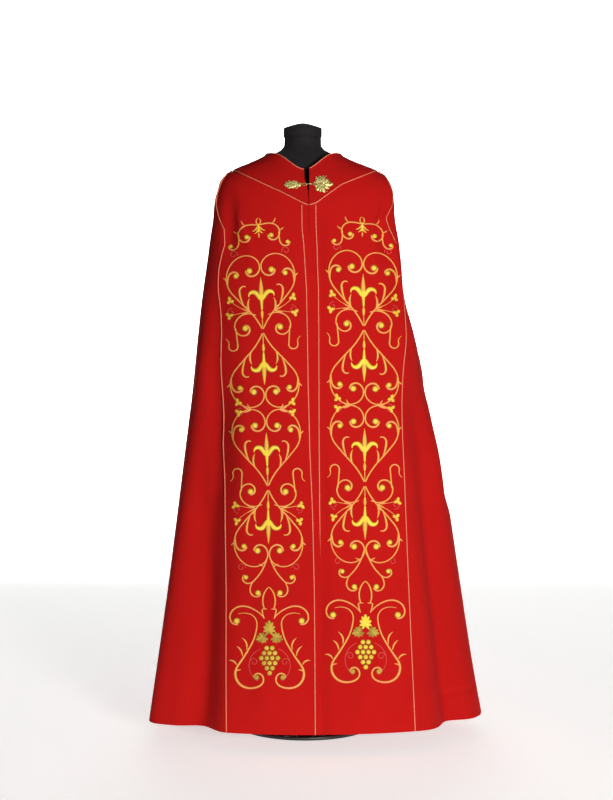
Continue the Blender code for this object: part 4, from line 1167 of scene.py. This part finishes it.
def makeTorso():
    back = len(halfPlaces) - 1          # the centre back's column
    picked = np.concatenate([np.arange(0, back, 4), [back], np.arange(back + 4, len(around), 4)])
    places = around[picked]
    turnGrid = np.concatenate([halfAngles[left], -halfAngles[right][:, -2::-1]], 1)
    edge = collarLevel[picked]

    def turnsAt(level):
        return np.array([np.interp(l, levels, turnGrid[:, c]) for l, c in zip(level, picked)])

    turn = turnsAt(edge + (hemLevel - edge) * shoulder["lower"] / shoulder["parts"])
    top, base, radius = neck["top"], neck["base"], neck["radius"]
    rings = []
    for height, reach in ((top, radius), (top - neck["edge"], radius), (base + neck["edge"], radius + 0.001),
                          (base, radius + 0.010)):
        rings.append(np.stack([neck["x"] - reach * np.sin(turn), neck["y"] - reach * np.cos(turn),
                               np.full(len(turn), height)], -1))
    for row in range(1, shoulder["upper"] + shoulder["lower"] + 1):
        past = row - shoulder["upper"]
        level = edge * row / shoulder["upper"]
        if past > 0:
            level = edge + (hemLevel - edge) * past / shoulder["parts"]
        points, outward = clothAt(level, places)
        away = softStep((np.abs(np.cos(turnsAt(level))) - 0.25) / 0.6)
        beyond = max(2 - row, row - 4, 0)
        clear = shoulder["air"] + shoulder["hollow"] * away + shoulder["deeper"] * beyond
        rings.append(points - outward * clear[:, None])
    for height, halfX, deepFront, deepBack in formSections:
        deep = np.where(np.cos(turn) > 0, deepFront, deepBack)
        rings.append(np.stack([-halfX * np.sin(turn), deep * np.abs(np.cos(turn)),
                               np.full(len(turn), height)], -1))
    grid = np.array(rings)
    made = finishMesh("dressFormTorso", grid.reshape(-1, 3), tubeFaces(*grid.shape[:2]), jersey)
    work = bmesh.new()
    work.from_mesh(made.data)
    bmesh.ops.recalc_face_normals(work, faces=work.faces)
    work.to_mesh(made.data)
    work.free()
    made.data.set_sharp_from_angle(angle=math.radians(60))
    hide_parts("form_torso")
    return made


torso = makeTorso()

# the neck cap: a round block with its edge turned over and a low point in two steps (in, up)
cap = {"radius": 0.0505, "depth": 0.0255, "height": 1.5735, "steps": [(0.022, 0.0075), (0.020, 0.0050)],
       "rounding": 0.0035}
bpy.ops.mesh.primitive_cylinder_add(vertices=72, radius=cap["radius"], depth=cap["depth"],
                                    location=(neck["x"], neck["y"], cap["height"]))
neckCap = lastMade("neckCap", jersey)
bpy.ops.object.mode_set(mode="EDIT")
bpy.ops.mesh.select_all(action="DESELECT")
capMesh = bmesh.from_edit_mesh(neckCap.data)
for face in capMesh.faces:
    face.select = face.normal.z > 0.9
bmesh.update_edit_mesh(neckCap.data)
for inward, upwards in cap["steps"]:
    bpy.ops.mesh.inset(thickness=inward)
    bpy.ops.transform.translate(value=(0, 0, upwards))
bpy.ops.object.mode_set(mode="OBJECT")
bevelled(neckCap, cap["rounding"], 4, 30)
settle(neckCap)
for face in neckCap.data.polygons:
    face.use_smooth = abs(face.normal.z) < 0.99
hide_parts("form_neck_cap")

# the stand: a round steel plate with a boss and a pole; each part's middle is at its "height"
stand = {"plate": {"radius": 0.180, "depth": 0.009, "height": 0.0045, "rounding": 0.0022},
         "boss": {"radius": 0.032, "topRadius": 0.024, "depth": 0.031, "height": 0.0245, "rounding": 0.0018},
         "pole": {"radius": 0.016, "depth": 0.658, "height": 0.3705}}
part = stand["plate"]
bpy.ops.mesh.primitive_cylinder_add(vertices=128, radius=part["radius"], depth=part["depth"],
                                    location=(0, 0, part["height"]))
plate = lastMade("plate", powderCoat)
bevelled(plate, part["rounding"])
part = stand["boss"]
bpy.ops.mesh.primitive_cone_add(vertices=64, radius1=part["radius"], radius2=part["topRadius"],
                                depth=part["depth"], location=(0, 0, part["height"]))
boss = lastMade("boss", powderCoat)
bevelled(boss, part["rounding"])
standBase = joinAll("standBase", [plate, boss])
settle(standBase)
part = stand["pole"]
bpy.ops.mesh.primitive_cylinder_add(vertices=48, radius=part["radius"], depth=part["depth"],
                                    location=(0, 0, part["height"]))
pole = lastMade("standPole", powderCoat)
settle(pole)
for piece, node in ((standBase, "stand_base"), (pole, "stand_pole")):
    smoothAll(piece)
    piece.data.set_sharp_from_angle(angle=math.radians(40))
    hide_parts(node)
print("form and stand made")

# each sheet's half and side are looked up; nothing more is done with them
for name, (piece, area, points) in sheetCut.items():
    half = left if name.endswith("_left") else right
    side = sideName[half]
    if name.startswith("front_band"):
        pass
    elif name.startswith("side_panel"):
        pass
    elif name.startswith("back_panel"):
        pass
    else:
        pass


# a plain pale floor and a wall far enough behind to stay even
def makeStage(name, material, colour, glow, roughness, place, size, turn=0):
    bpy.ops.mesh.primitive_plane_add(size=1, location=place, rotation=(math.radians(turn), 0, 0))
    piece = lastMade(name, newMaterial(material, Base_Color=paint(colour), Roughness=roughness,
                                       Emission_Color=(1, 1, 1, 1), Emission_Strength=glow)[0])
    piece.scale = (*size, 1)
    return piece


floor = makeStage("floor", "paleFloor", "#F6F6F5", 0.56, 0.9, (0, 3.4, 0), (4.6, 8.4))
backdrop = makeStage("backdrop", "paleBackdrop", "#F8F8F7", 0.72, 0.95, (0, 7.6, 1.5), (6.0, 6.4), 90)

# soft studio light: a wide key from the right front, a fill from the left, a light for the wall
# and a pale surround
world = bpy.data.worlds.new("studio")
scene.world = world
world.use_nodes = True
surround = world.node_tree.nodes["Background"]
surround.inputs["Color"].default_value = paint("#FFFFFF")
surround.inputs["Strength"].default_value = 0.10


def softLight(name, place, target, size, power, tint="#FFFFFF", spread=180):
    bpy.ops.object.light_add(type="AREA", location=place)
    lamp = bpy.context.active_object
    lamp.name = name
    lamp.data.size, lamp.data.energy = size, power
    lamp.data.color = paint(tint)[:3]
    lamp.data.spread = math.radians(spread)
    lamp.rotation_euler = (Vector(target) - Vector(place)).to_track_quat("-Z", "Y").to_euler()


softLight("keyLight", (2.05, -5.6, 1.2), (0, 0, 1.0), 1.1, 32, "#FFFBF5", 56)
softLight("fillLight", (-0.6, -3.6, 1.45), (0, 0, 1.2), 1.2, 4, "#F6F8FF")
softLight("wallLight", (0.0, 4.5, 4.0), (0, 8, 2.0), 3.5, 570)

camera = bpy.data.cameras.new("camera")
camera.lens, camera.sensor_width, camera.sensor_height = focalLength, sensor, sensor
camera.clip_end = 60
cameraObject = bpy.data.objects.new("camera", camera)
scene.collection.objects.link(cameraObject)
cameraObject.location = eye
cameraObject.rotation_euler = (aim - eye).to_track_quat("-Z", "Y").to_euler()
scene.camera = cameraObject
scene.view_settings.view_transform = "Standard"
